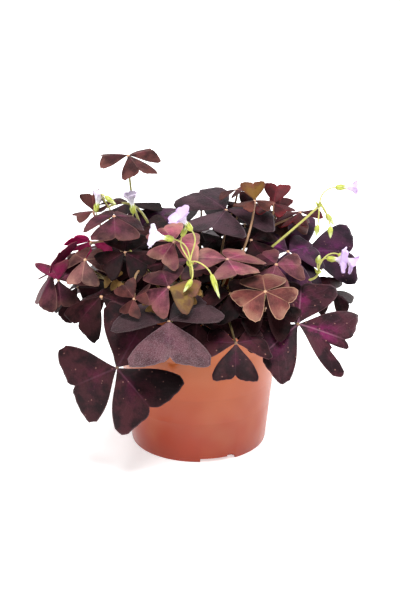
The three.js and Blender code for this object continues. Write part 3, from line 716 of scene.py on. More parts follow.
@dataclass(frozen=True)
class PetalFinish:
    """A thin petal: green-white at its foot, a body colour and a tinted edge, faintly veined, with a faint
    painted glow.
    """

    name: str
    foot: str
    body: str
    tip: str
    painted_glow: float = 0.05

    def material(self) -> bpy.types.Material:
        """The petal's material."""
        shader = Shader(self.name)
        across, along = shader.shares()
        tint = shader.mix(along.rise(0.02, 0.4), colour(self.foot), colour(self.body))
        tint = shader.mix(along.rise(0.5, 1.0), tint, colour(self.tip))
        lines = abs((across * 9 + shader.cloud(300) * 0.8).math("FRACT") - 0.5)
        veins = (1 - lines.rise(0.0, 0.2)) * along.rise(0.2, 0.5) * (1 - along.rise(0.8, 1.0))
        tint = shader.mix(veins * 0.16, tint, colour("b79ac2"))
        # Painted light: the petal glows faintly in its own colour, as of light shining through it.
        shader.skin_set(
            Base_Color=tint,
            Roughness=0.5 + shader.cloud(900) * 0.12,
            Specular_IOR_Level=0.3,
            Subsurface_Weight=0.5,
            Subsurface_Radius=(0.003, 0.003, 0.003),
            Emission_Color=tint,
            Emission_Strength=self.painted_glow,
        )
        shader.bump(1 - veins, 0.12)
        return shader.material


@dataclass(frozen=True)
class PotFinish:
    """Satin terracotta-coloured plastic with faint moulding waves and handling marks, and painted shade
    that deepens it towards its foot.
    """

    body: str = "aa541c"
    painted_low_shade: str = "932c07"
    pale: str = "b2663e"

    def material(self) -> bpy.types.Material:
        """The pot's material."""
        shader = Shader("terracotta_plastic")
        height = shader.part(shader.place(), 2) / MM
        # Painted light and shade: the plastic goes from a deeper colour at the foot to a lighter one at
        # the top, where more light falls and reflects.
        tint = shader.mix(height.rise(5.0, 95.0), colour(self.painted_low_shade), colour(self.body))
        tint = shader.mix(shader.cloud(24, 2).rise(0.45, 0.75) * 0.35, tint, colour(self.pale))
        speck = 1 - shader.cells(420).rise(0.05, 0.12)
        chosen = shader.cloud(160, 0).rise(0.56, 0.62)
        tint = shader.mix(speck * chosen * 0.5, tint, colour("7c3a22"))
        grain = shader.cloud(2400, 2)
        shader.skin_set(
            Base_Color=shader.shade(tint, 0.94 + grain * 0.12),
            Roughness=0.4 + shader.cloud(60) * 0.16 + grain * 0.05,
            Specular_IOR_Level=0.12,
            Coat_Weight=0.6,
            Coat_Roughness=0.15,
        )
        shader.bump(grain * 0.4 + shader.cloud(260, 2) * 0.6, 0.06)
        return shader.material


@dataclass(frozen=True)
class SoilFinish:
    """Dark moist peat with paler fibres."""

    dark: str = "17100c"
    light: str = "3d2b20"

    def material(self) -> bpy.types.Material:
        """The soil's material."""
        shader = Shader("peat")
        coarse = shader.cloud(420, 5, 0.65)
        fine = shader.cloud(1900, 3)
        tint = shader.mix(coarse.rise(0.35, 0.7), colour(self.dark), colour(self.light))
        fibres = shader.cloud(90, 0).rise(0.5, 0.7) * fine.rise(0.55, 0.7)
        tint = shader.mix(fibres * 0.35, tint, colour("6b513b"))
        shader.skin_set(Base_Color=tint, Roughness=0.78 + fine * 0.2, Specular_IOR_Level=0.25)
        shader.bump(coarse + fine * 0.5, 1.2)
        return shader.material


# The plant's plan, in millimetres and degrees

@dataclass(frozen=True)
class Tear:
    """A piece that is gone from a leaflet's far edge."""

    leaflet: int
    middle: float
    width: float
    depth: float


@dataclass(frozen=True)
class LeafPlan:
    """One leaf as it was set: its hub, its midrib's length and how its leaflets spread.

    Attributes:
        lit: the leaflets that get a painted glow, as of light shining through them.
        tear: a piece that is gone from one of them.
        painted_lifts: painted light and shade, as how light each leaflet is, from -2.5 to 2.5, where it
            isn't left to chance.
        painted_half_shades: painted shade, as how dark each leaflet's one half is, with the sign of its
            side, likewise.
    """

    name: str
    hub: tuple[float, float, float]
    size: float
    toward: float
    lean: float
    spin: Triple
    droop: Triple
    flare: float
    fold: float
    tone: Tone
    lit: tuple[int, ...] = ()
    tear: Tear | None = None
    painted_lifts: tuple[float, ...] = ()
    painted_half_shades: tuple[float, ...] = ()


# A leaf's number in these two lists, read one after the other, steers its small irregularities.
LEAVES = [
    LeafPlan("a_tall", (-45, 10, 192), 17, -90, 12, (182, -60, 30), (-12, 6, -4), 37, 22, Tone.RUSSET),
    LeafPlan(
        "m_front", (-18, -71, 109), 28, -90, 4, -88, (16, -18, -2), 48, 8, Tone.GREY,
        painted_lifts=(0.3, -2.5, -2.2),
        painted_half_shades=(0.1, 0.3, 0.3),
    ),
    LeafPlan(
        "n_front_left_low", (-48, -62, 75), 33, -95, 70, (58, 201, 303), (10, 3, 3), 44, 10, Tone.MAROON,
        painted_half_shades=(0.2, 0.1, 0.9),
    ),
    LeafPlan("l_front_low", (23, -80, 98), 20, -90, 34, (-90, 18, 162), (20, 14, 10), 36, 10, Tone.MAROON),
    LeafPlan(
        "k_front_right", (62, -63, 106), 32, -85, 38, (82, 222, 342), (2, 9, 4), 40, 10, Tone.FLAMED,
        tear=Tear(2, -0.45, 0.2, 0.34),
        painted_lifts=(0.2, -0.4, 0.9),
        painted_half_shades=(0.3, -0.9, 0.2),
    ),
    LeafPlan("j_front_right_small", (41, -65, 126), 17, -90, 27, 92, 5, 46, 8, Tone.BROWN_RED),
    LeafPlan("h_centre", (18, -45, 138), 19, -90, 8, -70, 3, 45, 8, Tone.PINK),
    LeafPlan(
        "e_top", (18, 5, 157), 27, -90, 6, (5, 132, 245), (4, -17, 4), 46, 8, Tone.SLATE,
        painted_lifts=(-0.8, -0.6, 0.1),
        painted_half_shades=(0.5, -0.5, 0.5),
    ),
    LeafPlan(
        "c_left_top", (-53, -25, 162), 17, -90, 15, -85, 16, 48, 10, Tone.PLUM,
        painted_lifts=(-1.2, -0.8, -1.0),
    ),
    LeafPlan("g_right_big", (68, 8, 124), 30, -95, 34, 124, 4, 45, 12, Tone.PURPLE),
    LeafPlan("w_left_dark", (-47, -6, 132), 19, -90, 34, 20, 6, 44, 10, Tone.DARK),
    LeafPlan("r_centre_small", (-15, -50, 153), 15, -90, 38, 235, 6, 44, 14, Tone.PINK),
    LeafPlan(
        "p_left_edge", (-94, -10, 119), 21.5, 200, 20, -150, (40, -52, 10), 42, 14, Tone.PLUM,
        lit=(1,),
        painted_lifts=(-1.0, 0.0, -0.8),
    ),
    LeafPlan("p2_left_brown", (-72, -22, 132), 14, -100, 42, -105, (10, 28, 28), 40, 14, Tone.BROWN),
    LeafPlan("o_left", (-63, -33, 111), 22, -110, 40, -142, (6, 20, 30), 42, 14, Tone.DARK),
    LeafPlan("f2_top_upright", (38, 5, 160.5), 11, -90, 5, 100, (-60, 0, 0), 40, 12, Tone.OLIVE, lit=(0,)),
    LeafPlan("f3_top_red", (45, 8, 156), 12, -90, 5, 75, (-58, 0, 0), 40, 12, Tone.RED),
    LeafPlan("f1_top_small", (27, 15, 165.5), 10, 180, 15, 165, -6, 42, 16, Tone.RUSSET),
    LeafPlan("f4_top_right", (54, 2, 152), 14, -60, 10, -8, 6, 44, 10, Tone.RUSSET),
    LeafPlan("f5_top_right_edge", (64, 12, 155), 14, 190, 12, 5, 2, 42, 16, Tone.RED),
    LeafPlan("v_centre_low", (22, -46, 118), 18, -90, 20, -75, 6, 44, 12, Tone.DARK),
    LeafPlan("q_centre_crease", (-14, -57, 128), 16, -100, 35, 222, 6, 44, 12, Tone.AGEING, lit=(1,)),
    LeafPlan("s_centre_flat", (-9, -40, 134), 19, -90, 5, 180, 4, 42, 8, Tone.PLUM),
    LeafPlan("d_top_left", (-30, 28, 133), 26, -90, 34, 92, 5, 44, 10, Tone.PURPLE),
    LeafPlan("x_centre_dark", (30, 2, 137), 20, -90, 26, -60, 6, 45, 10, Tone.DARK),
    LeafPlan("yb_old_yellow", (-8, -60, 121), 10, -90, 50, -95, 14, 42, 24, Tone.OLD),
    LeafPlan("lf_left_low", (-76, -6, 110), 22, -150, 38, -150, 8, 44, 12, Tone.DARK),
    LeafPlan("y_centre_upright", (29, -22, 134), 12, -90, 40, 135, 5, 42, 12, Tone.PLUM),
    LeafPlan("i_centre_right", (45, -32, 128), 15, -90, 25, 130, 6, 44, 12, Tone.PLUM),
    LeafPlan("b_left_high", (-60, 8, 160), 11, 90, 10, 170, (-70, -30, -25), 38, 20, Tone.RUSSET),
    LeafPlan(
        "mg_left_magenta", (-68, 0, 137), 14, 90, 45, (10, 130, 220), 0, 38, 16, Tone.MAGENTA,
        lit=(0, 1, 2),
    ),
    LeafPlan("br_left_folded", (-37, -55, 118), 10, -110, 40, -120, (10, -35, -35), 42, 20, Tone.RUSSET),
    LeafPlan("kb_right_back", (87, -8, 104), 15, -60, 35, -20, 8, 44, 12, Tone.DARK),
    LeafPlan("b1_back_top", (2, 42, 146), 26, 90, 10, 90, 6, 46, 10, Tone.SLATE),
    LeafPlan("b2_back_top_left", (-46, 44, 146), 26, 130, 18, 130, 8, 46, 10, Tone.DARK),
    LeafPlan("b3_back_top_right", (46, 50, 142), 28, 50, 20, 50, 8, 46, 10, Tone.PURPLE),
    LeafPlan("b4_left_back", (-82, 34, 122), 24, 165, 32, 165, 8, 45, 12, Tone.PLUM),
    LeafPlan("b5_right_back", (82, 38, 120), 25, 25, 32, 25, 8, 45, 12, Tone.DARK),
    LeafPlan("b6_back_left", (-24, 70, 131), 26, 105, 28, 105, 8, 46, 10, Tone.FLAMED),
    LeafPlan("b7_back_right", (28, 68, 126), 27, 72, 32, 72, 8, 46, 10, Tone.SLATE),
    LeafPlan("b8_back_left_low", (-62, 66, 104), 28, 132, 42, 132, 8, 45, 12, Tone.DARK),
    LeafPlan("b9_back_right_low", (64, 72, 98), 28, 48, 44, 48, 8, 45, 12, Tone.PLUM),
    LeafPlan("b10_back_low", (2, 78, 96), 25, 90, 46, 90, 8, 45, 12, Tone.DARK),
    LeafPlan("b11_back_left_hanging", (-40, 76, 84), 24, 116, 52, 296, 4, 44, 12, Tone.FLAMED),
    LeafPlan("b12_back_right_hanging", (44, 76, 82), 24, 60, 52, 240, 4, 44, 12, Tone.DARK),
]
INNER_LEAVES = [
    LeafPlan("inner_1", (4, -8, 137), 20, -90, 28, 60, 6, 44, 12, Tone.DARK),
    LeafPlan("inner_2", (25, 6, 134), 20, -70, 26, -60, 6, 44, 12, Tone.DARK),
    LeafPlan("inner_3", (-34, -16, 124), 20, -100, 32, -95, 6, 44, 12, Tone.DARK),
    LeafPlan("inner_4", (8.5, -54, 111), 17, -90, 30, 90, 6, 44, 12, Tone.DARK),
    LeafPlan("inner_5", (39, -60, 111), 18, -85, 32, -30, 6, 44, 12, Tone.DARK),
    LeafPlan("inner_6", (-17, 2, 142), 19, -95, 24, 30, 6, 44, 12, Tone.DARK),
    LeafPlan("inner_7", (60.5, -8, 133), 20, -80, 30, 150, 6, 44, 12, Tone.PURPLE),
    LeafPlan("inner_8", (-46, -34, 141), 17, -90, 30, -150, 6, 44, 12, Tone.DARK),
    LeafPlan("inner_9", (2, -64, 108), 17, -90, 55, -95, 6, 44, 12, Tone.DARK),
    LeafPlan("inner_10", (33, -64, 108), 16, -85, 50, -60, 6, 44, 12, Tone.DARK),
    LeafPlan("inner_11", (28, 18, 143), 18, -90, 25, -150, 6, 44, 12, Tone.DARK),
    LeafPlan("inner_14", (-8, -66, 112), 16, -90, 62, -95, 6, 44, 12, Tone.DARK),
    LeafPlan("inner_15", (3, -60, 105), 15, -90, 60, -85, 6, 44, 12, Tone.DARK),
    LeafPlan("inner_16", (42, -52, 110), 14, -80, 60, -85, 6, 44, 12, Tone.DARK),
    LeafPlan("inner_17", (-54, -30, 122), 6, -90, 40, -60, (10, -30, 20), 42, 20, Tone.OLD),
    LeafPlan("inner_18", (-28, -61, 117), 5.5, -90, 40, -100, (20, -30, 10), 42, 20, Tone.OLD),
    LeafPlan("inner_19", (-68, 6, 158), 11, -90, 5, (100, 200, 335), (-65, 5, -35), 40, 14, Tone.RUSSET),
    LeafPlan(
        "inner_20", (-90, -15, 118), 16, -100, 70, (-95, 25, 88), (0, 12, -62), 40, 14, Tone.PLUM,
        lit=(2,),
        painted_lifts=(-1.5, -1.0, 0.0),
    ),
    LeafPlan("inner_12", (31, 12, 159), 9, -90, 20, 60, (-40, -10, 0), 42, 14, Tone.DARK),
    LeafPlan("inner_13", (52, 14, 153), 11, -90, 15, 70, (-45, -10, 0), 42, 14, Tone.RED),
]

# The scales that a packed leaf may have where it is crowded
SHRINK = (1, 0.92, 0.84, 0.77)

# The planned depth that parts the front clump's leaves from the back one's
CLUMP_BORDER = 8


@dataclass(frozen=True)
class FlowerPlan:
    """A flower from the foot of its calyx to its mouth, and how wide open it is."""

    base: tuple[float, float, float]
    mouth: tuple[float, float, float]
    wide: float
    white: bool = False


@dataclass(frozen=True)
class BudPlan:
    """A closed or spent bud from its foot to its tip."""

    base: tuple[float, float, float]
    tip: tuple[float, float, float]


@dataclass(frozen=True)
class StemPlan:
    """A flower stem: its root, the two points that bend it, its head and what it carries."""

    name: str
    root: tuple[float, float]
    low: tuple[float, float, float]
    high: tuple[float, float, float]
    head: tuple[float, float, float]
    flowers: tuple[FlowerPlan, ...]
    buds: tuple[BudPlan, ...]


STEMS = [
    StemPlan(
        "right",
        (9, 0),
        (11, -1, 106),
        (50, -8, 136),
        (77, -12, 165),
        (FlowerPlan((87, -12, 177), (101, -12, 177), 0.45),),
        (
            BudPlan((84, -16, 152), (84, -18, 145)),
            BudPlan((76, -16, 153), (75, -17, 146)),
            BudPlan((82, -8, 158), (87, -9, 151)),
        ),
    ),
    StemPlan(
        "centre",
        (-2, 0),
        (-2, -1, 108),
        (-3, -50, 112),
        (-5, -62, 142),
        (
            FlowerPlan((-15, -63, 159), (-29, -65, 162), 0.9, True),
            FlowerPlan((-4, -64, 165), (-12, -66, 176), 0.95),
        ),
        (
            BudPlan((8, -74, 140), (13, -78, 126)),
            BudPlan((-4, -72, 136), (-9, -75, 129)),
            BudPlan((-10, -60, 160), (-6, -58, 167)),
        ),
    ),
    StemPlan(
        "left",
        (-16, 0),
        (-17, 0, 108),
        (-46, 3, 122),
        (-53, 4, 146),
        (
            FlowerPlan((-42, 4, 155), (-44, 3, 169), 0.5, True),
            FlowerPlan((-66, -2, 158), (-63, -3, 172), 0.4, True),
        ),
        (BudPlan((-59, -12, 171), (-52, -14, 166)),),
    ),
    StemPlan(
        "right_edge",
        (20, 0),
        (23, 0, 128),
        (74, -14, 104),
        (77, -18, 122),
        (
            FlowerPlan((82, -22, 133), (93, -26, 133), 1),
            FlowerPlan((90, -14, 133), (101, -17, 127), 0.85),
        ),
        (BudPlan((76, -22, 130), (77, -24, 136)),),
    ),
]


# Leaves

@dataclass(frozen=True)
class LeafletForm:
    """One leaflet: its three directions and its shape, in millimetres and degrees."""

    along: Vector
    side: Vector
    normal: Vector
    size: float
    flare: float
    fold: float
    curl: float
    wave: float
    phase: float
    leaf: int
    number: int
    tear: Tear | None

    def reach(self, t: float) -> float:
        """How far the outline is from the hub, as a share of the midrib, from side to side."""
        a = abs(t)
        shoulder = 0.1 * (1 - math.exp(-((a / 0.07) ** 2)))
        return 0.95 + shoulder + 0.35 * a**1.6 - 0.16 * smooth(0.86, 1, a)

    def point(self, s: float, t: float, fine: bool) -> Vector:
        """A point of the leaflet, seen from its hub.

        Args:
            s: how far it is from the hub, from 0 to 1.
            t: how far it is to the side, from -1 to 1.
            fine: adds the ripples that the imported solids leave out.

        Returns:
            The point, in millimetres.
        """
        reach = self.reach(t)
        if fine:
            rough = wobble(self.leaf, self.number + 21)
            reach *= 1 + 0.009 * math.sin(11 * t + 3 * rough) + 0.006 * math.sin(27 * t + 5 * rough)
            reach *= 1 - 0.05 * smooth(0.66, 1, abs(t))
            if self.tear:
                gone = math.exp(-(((t - self.tear.middle) / self.tear.width) ** 4))
                reach *= 1 - self.tear.depth * gone * (1 + 0.15 * math.sin(31 * t))
        angle = math.radians(t * (self.flare + 6 * math.sin(math.pi * s)))
        radius = self.size * reach * s
        u = radius * math.cos(angle)
        v = radius * math.sin(angle)
        soft = 0.05 * self.size
        crease = math.hypot(v, soft) - soft
        fold = math.radians(self.fold)
        lift = -crease * math.sin(fold) - self.curl * u * u / self.size
        lift += self.wave * self.size * s * s * math.sin(4.4 * angle + self.phase)
        if fine:
            ripple = smooth(0.55, 1, s) * math.sin(9 * t + 2 * self.phase)
            lift += 0.012 * self.size * ripple - 0.02 * self.size * smooth(0.8, 1, abs(t)) * s
        return self.along * u + self.side * (v * math.cos(fold)) + self.normal * lift


@dataclass
class Leaf:
    """A leaf of three leaflets on a knob, in the place of one packed leaf.

    Attributes:
        plan: where it was set and how it spreads.
        index: its number in the list.
        inner: it has no packed leaf, and stands where its plan says.
        across: faces from side to side of a leaflet.
        along: faces from a leaflet's foot to its far edge.
        thickness: of the blade, in millimetres.
        first: the share of a leaflet's reach that its blade starts at.
        packed_half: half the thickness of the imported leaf.
        packed_hub: how far its hub reaches down and to the side.
        close_fit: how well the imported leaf's box has to be met.
    """

    plan: LeafPlan
    index: int
    inner: bool = False
    across: int = 28
    along: int = 24
    thickness: float = 0.35
    first: float = 0.03
    packed_half: float = 0.45
    packed_hub: float = 1.9
    close_fit: float = 0.1
    hub: Vector = field(init=False)
    scale: float = field(init=False)
    up: Vector = field(init=False)
    down: Vector = field(init=False)

    def __post_init__(self) -> None:
        """Finds the leaf's place and size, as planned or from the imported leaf's box."""
        toward, lean = math.radians(self.plan.toward), math.radians(self.plan.lean)
        flat = Vector((math.cos(toward), math.sin(toward), 0))
        self.up = flat * math.sin(lean) + Vector((0, 0, math.cos(lean)))
        self.down = flat * math.cos(lean) - Vector((0, 0, math.sin(lean)))
        if self.inner:
            self.hub, self.scale = Vector(self.plan.hub), 1.0
            return
        low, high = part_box(f"leaf_{self.plan.name}")
        low, high = low / MM, high / MM
        fits = []
        for scale in SHRINK:
            rough = self.rough_points(scale)
            rough_low = Vector([min(p[k] for p in rough) for k in range(3)])
            rough_high = Vector([max(p[k] for p in rough) for k in range(3)])
            misfit = ((rough_high - rough_low) - (high - low)).length
            fits.append((misfit, scale, (low + high) / 2 - (rough_low + rough_high) / 2))
        misfit, self.scale, self.hub = min(fits, key=lambda fit: fit[0])
        if misfit > self.close_fit:
            log.warning("%s doesn't fit its packed leaf by %.2f mm", self.plan.name, misfit)

    def leaflets(self, scale: float) -> list[LeafletForm]:
        """The three leaflets at a scale."""
        plan = self.plan
        across = self.up.cross(self.down)
        forms = []
        for k in range(3):
            spin = plan.spin[k] if isinstance(plan.spin, tuple) else plan.spin + 120 * k
            droop = plan.droop[k] if isinstance(plan.droop, tuple) else plan.droop
            turn = math.radians(spin + 4 * wobble(self.index, k) - plan.toward)
            dip = math.radians(droop + 4 * wobble(self.index, k + 3))
            flat = self.down * math.cos(turn) + across * math.sin(turn)
            forms.append(
                LeafletForm(
                    along=flat * math.cos(dip) - self.up * math.sin(dip),
                    side=self.up.cross(flat),
                    normal=self.up * math.cos(dip) + flat * math.sin(dip),
                    size=scale * plan.size * (1 + 0.06 * wobble(self.index, k + 6)),
                    flare=plan.flare,
                    fold=plan.fold + 4 * wobble(self.index, k + 9),
                    curl=0.1 + 0.08 * wobble(self.index, k + 12),
                    wave=0.03 + 0.015 * wobble(self.index, k + 15),
                    phase=math.pi * wobble(self.index, k + 18),
                    leaf=self.index,
                    number=k,
                    tear=plan.tear if plan.tear and plan.tear.leaflet == k else None,
                )
            )
        return forms

    def rough_points(self, scale: float) -> list[Vector]:
        """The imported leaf's points round a hub at the origin, in millimetres."""
        forms = self.leaflets(scale)
        half, hub = self.packed_half, self.packed_hub
        outline = [(0.5, -1), (1, -1), (1, -0.86), (1, -0.16), (1, 0), (1, 0.16), (1, 0.86), (1, 1)]
        points = [self.up * half, self.up * -hub]
        for form, following in zip(forms, forms[1:] + forms[:1]):
            gap = (form.along + following.along + self.up * 0.3).normalized() * hub
            points += [gap + self.up * half, gap - self.up * half]
            for s, t in [*outline, (0.5, 1), (0.58, 0)]:
                for lift in (half, -half):
                    points.append(form.point(s, t, False) + form.normal * lift)
        return points

    def blade(self, form: LeafletForm) -> bpy.types.Object:
        """One leaflet as a thin sheet."""

        def place(u: float, v: float) -> Vector:
            """A point of the leaflet, in metres."""
            s = self.first + (1 - self.first) * v
            return (self.hub + form.point(s, 1 - 2 * u, True)) * MM

        k = form.number
        plan = self.plan
        piece = Bench.sheet(f"leaflet_{plan.name}_{k}", self.across, self.along, place)
        # Painted light and shade for the material: each leaflet's lift, its painted half shade, and
        # whether it gets the painted glow of light shining through.
        Bench.mark(piece, "lift", plan.painted_lifts[k] if plan.painted_lifts else wobble(self.index, k + 24))
        Bench.mark(piece, "half", plan.painted_half_shades[k] if plan.painted_half_shades else wobble(self.index, k + 27))
        Bench.mark(piece, "lit", float(k in plan.lit))
        return piece

    def knob(self) -> bpy.types.Object:
        """The short joint that carries the leaflets on the stalk's tip."""
        profile = [(0.2, -2.25), (0.78, -2.2), (0.8, -1.6), (1.0, -0.9), (1.15, -0.3)]
        profile += [(0.9, 0.25), (0.2, 0.45)]
        return Bench.bead(f"knob_{self.plan.name}", profile, 12, self.hub, self.up)

    def build(self, wardrobe: LeafWardrobe, knob_skin: bpy.types.Material) -> bpy.types.Object:
        """Builds the leaf.

        Args:
            wardrobe: where its materials come from.
            knob_skin: the material of the joint at its hub.

        Returns:
            The finished leaf.
        """
        skins = (*wardrobe.of(self.plan.tone), knob_skin)
        blades = Bench.join([self.blade(form) for form in self.leaflets(self.scale)], "blades")
        Bench.dress(blades, *skins)
        Bench.modify(
            blades,
            "SOLIDIFY",
            thickness=self.thickness * MM,
            offset=0,
            use_rim=True,
            material_offset=1,
            material_offset_rim=0,
        )
        knob = self.knob()
        Bench.dress(knob, *skins, index=2)
        leaf = Bench.join([blades, knob], f"{self.plan.name}_leaf")
        Bench.smooth(leaf)
        return leaf


# Room for the inner leaves

class Surface:
    """A built piece's surface, which can be tried a little aside from its place."""

    def __init__(self, piece: bpy.types.Object) -> None:
        """Reads the piece's points and faces."""
        piece.data.calc_loop_triangles()
        self.points = [vertex.co.copy() for vertex in piece.data.vertices]
        self.faces = [tuple(face.vertices) for face in piece.data.loop_triangles]
        self.low = Vector([min(p[k] for p in self.points) for k in range(3)])
        self.high = Vector([max(p[k] for p in self.points) for k in range(3)])
        self.shift = Vector()
        self.move(self.shift)

    def move(self, shift: Vector) -> None:
        """Stands the surface at a shift from where it was built."""
        self.shift = shift
        moved = [point + shift for point in self.points]
        self.tree = BVHTree.FromPolygons(moved, self.faces, all_triangles=True)

    def meets(self, other: "Surface") -> bool:
        """Whether the boxes round two surfaces meet."""
        gap = self.shift - other.shift
        below = self.low + gap
        above = self.high + gap
        return all(below[k] < other.high[k] and above[k] > other.low[k] for k in range(3))

    def cuts(self, others: list["Surface"]) -> int:
        """How many pairs of faces cross between this surface and others."""
        near = [other for other in others if other is not self and self.meets(other)]
        return sum(len(self.tree.overlap(other.tree)) for other in near)


@dataclass
class Settling:
    """Slides leaves by a few millimetres, to where they cut least into what stands around them.

    Attributes:
        sight: the way that the photograph looks.
        away: the slides that are tried along it, which the photograph doesn't show.
        aloft: the slides that are tried across it, upwards.
        aside: the slides that are tried to the side.
        efforts: how many crossing faces a millimetre of each slide has to save.
        rounds: how often all the leaves are gone through.
    """

    sight: Vector = field(default_factory=lambda: Vector((0, 0.939, -0.345)))
    away: tuple[float, ...] = (-4, -2, 0, 2, 4, 6, 9, 12)
    aloft: tuple[float, ...] = (-2, 0, 2)
    aside: tuple[float, ...] = (-2.5, 0, 2.5)
    efforts: tuple[float, ...] = (1.2, 4.0, 4.0)
    rounds: int = 2

    def shift(self, steps: list[float]) -> Vector:
        """The shift, in metres, that three slides come to."""
        side = Vector((1, 0, 0))
        aloft = side.cross(self.sight)
        return (self.sight * steps[0] + aloft * steps[1] + side * steps[2]) * MM

    def cost(self, leaf: Surface, steps: list[float], around: list[Surface]) -> float:
        """What a place costs: its crossing faces and the effort of going there."""
        leaf.move(self.shift(steps))
        effort = sum(abs(step) * each for step, each in zip(steps, self.efforts))
        return leaf.cuts(around) + effort

    def settle(self, leaves: list[Surface], around: list[Surface]) -> None:
        """Moves the leaves' surfaces, one slide at a time.

        Args:
            leaves: the surfaces that may move.
            around: all surfaces that they shouldn't cut, theirs included.
        """
        chosen = [[0.0, 0.0, 0.0] for _ in leaves]
        for _ in range(self.rounds):
            for leaf, steps in zip(leaves, chosen):
                for axis, slides in enumerate((self.away, self.aloft, self.aside)):
                    tries = [[*steps[:axis], slide, *steps[axis + 1:]] for slide in slides]
                    costs = [self.cost(leaf, tried, around) for tried in tries]
                    steps[:] = tries[costs.index(min(costs))]
                leaf.move(self.shift(steps))


# Leaf stalks

@dataclass
class StalkClump:
    """A clump of leaf stalks and the crown that they rise from.

    Attributes:
        name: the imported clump's name.
        side: -1 for the front clump, 1 for the back one.
        leaves: the leaves that its stalks carry.
        packed_radius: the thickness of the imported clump's stalks, from their middle.
        packed_sides: how many sides they have.
        packed_steps: how many stretches they have.
        over_rim: the height under which an inner leaf's stalk arches over the pot's rim.
        plain_run: the number of the run that another inner leaf's stalk takes.
        arched_run: the number of the run that arches.
    """

    name: str
    side: int
    leaves: list[Leaf]
    crown_half: tuple[float, float] = (24.0, 9.0)
    crown_offset: float = 17.0
    foot: float = 0.95
    tip: float = 0.68
    packed_radius: float = 0.95
    packed_sides: int = 5
    packed_steps: int = 7
    over_rim: float = 112.0
    plain_run: int = 1
    arched_run: int = 4
    young: tuple[str, ...] = ("a_", "b_", "c_", "r_")
    straight: tuple[str, ...] = ("a_tall",)
    bows: tuple[float, ...] = (0, 7, -7, 14, -14, 21, -21)
    rises: tuple[float, ...] = (0, 0.35, 0.8, 1.6, 2.6)

    def runs(self, leaf: Leaf) -> list[Run]:
        """The ways that a leaf's stalk may run, as the plan allows them."""
        hub = leaf.hub
        root = Vector(
            (
                min(20, max(-20, 0.4 * hub.x)),
                self.side * self.crown_offset + min(4, max(-4, 0.06 * hub.y)),
                SOIL_TOP,
            )
        )
        inward = Vector((-hub.x, -hub.y, 0)).normalized()
        pull = 0.62 if leaf.plan.name in self.straight else 0.38
        found = []
        for bow in self.bows:
            for rise in self.rises:
                arrive = inward * (0.8 * rise) - leaf.up
                arrive.z += 1.1 * rise
                arrive.normalize()
                slant = math.sqrt(max(0.0, 1 - arrive.dot(leaf.up) ** 2))
                end = hub - leaf.up * (2.2 + 1.15 * slant)
                span = (end - root).length
                sideways = inward.cross(Vector((0, 0, 1))) * bow
                first = root.lerp(end, 0.3) + sideways + Vector((0, 0, 0.16 * span + 12 * rise))
                second = end + arrive * (pull * span) + sideways
                joint = end + leaf.up * (0.35 + 1.15 * slant)
                curve = [point * MM for point in (root, first, second, joint)]
                found.append(Run(*curve, self.foot, self.tip))
        return found

    def chosen(self, leaf: Leaf, tree: kdtree.KDTree) -> Run:
        """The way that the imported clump's stalk runs: its rings lie round that curve."""
        shares = [k / self.packed_steps for k in range(3, self.packed_steps)]

        def misfit(run: Run) -> float:
            """How far the nearest points are from lying on the stalk's skin."""
            total = 0.0
            for point in run.spaced(shares):
                near = tree.find_n(point, self.packed_sides)
                total += sum(abs(distance - self.packed_radius * MM) for _, _, distance in near)
            return total

        if leaf.inner:
            low = leaf.hub.z < self.over_rim
            return self.runs(leaf)[self.arched_run if low else self.plain_run]
        return min(self.runs(leaf), key=misfit)

    def is_young(self, leaf: Leaf) -> bool:
        """Whether a leaf is one of the youngest, whose stalks are still green."""
        return leaf.plan.name.startswith(self.young)

    def crown(self) -> bpy.types.Object:
        """The low scaly mound that the stalks rise from."""
        sphere = bpy.ops.mesh.primitive_uv_sphere_add
        crown = Bench.add(sphere, "crown", segments=48, ring_count=20, radius=1)
        for vertex in crown.data.vertices:
            p = vertex.co
            scales = 0.5 + 0.5 * math.sin(34 * p.x + 6 * math.sin(9 * p.y)) * math.sin(12 * p.y)
            lump = noise.noise(Vector((3 * p.x, 3 * p.y, 3 * p.z + self.side)))
            grow = 1 + 0.07 * lump + 0.04 * scales
            x = p.x * self.crown_half[0] * 0.97 * grow
            y = self.side * self.crown_offset + p.y * self.crown_half[1] * 0.97 * grow
            z = SOIL_TOP - 1 + p.z * 4.4 * grow
            vertex.co = (x * MM, y * MM, z * MM)
        return crown

    def build(
        self,
        crown_skin: bpy.types.Material,
        stalk_skin: bpy.types.Material,
        young_skin: bpy.types.Material,
    ) -> bpy.types.Object:
        """Builds the clump.

        Args:
            crown_skin: the crown's material.
            stalk_skin: the stalks' material.
            young_skin: the material of the stalks of the youngest leaves.

        Returns:
            The finished clump.
        """
        packed = frame["nodes"][self.name].data
        tree = kdtree.KDTree(len(packed.vertices))
        seen = set()
        for i, vertex in enumerate(packed.vertices):
            key = tuple(round(c / (0.01 * MM)) for c in vertex.co)
            if key not in seen:
                seen.add(key)
                tree.insert(vertex.co, i)
        tree.balance()
        skins = (crown_skin, stalk_skin, young_skin)
        crown = self.crown()
        Bench.dress(crown, *skins)
        pieces = [crown]
        for index, young in enumerate((False, True), 1):
            runs = [self.chosen(leaf, tree) for leaf in self.leaves if self.is_young(leaf) == young]
            if runs:
                stalks = Bench.tubes("stalks", runs, 3, 26)
                Bench.dress(stalks, *skins, index=index)
                pieces.append(stalks)
        clump = Bench.join(pieces, f"fine_{self.name}")
        Bench.smooth(clump)
        return clump


# Flowers

def flower_run(start: Vector, end: Vector, out: Vector, rise: float, thick: float) -> Run:
    """A flower stalk's curve: it leaves upwards and comes in along the flower's axis."""
    span = (end - start).length
    first = start + Vector((0, 0, rise * span))
    second = end - out * (0.45 * span)
    return Run(start * MM, first * MM, second * MM, end * MM, thick, 0.85 * thick)


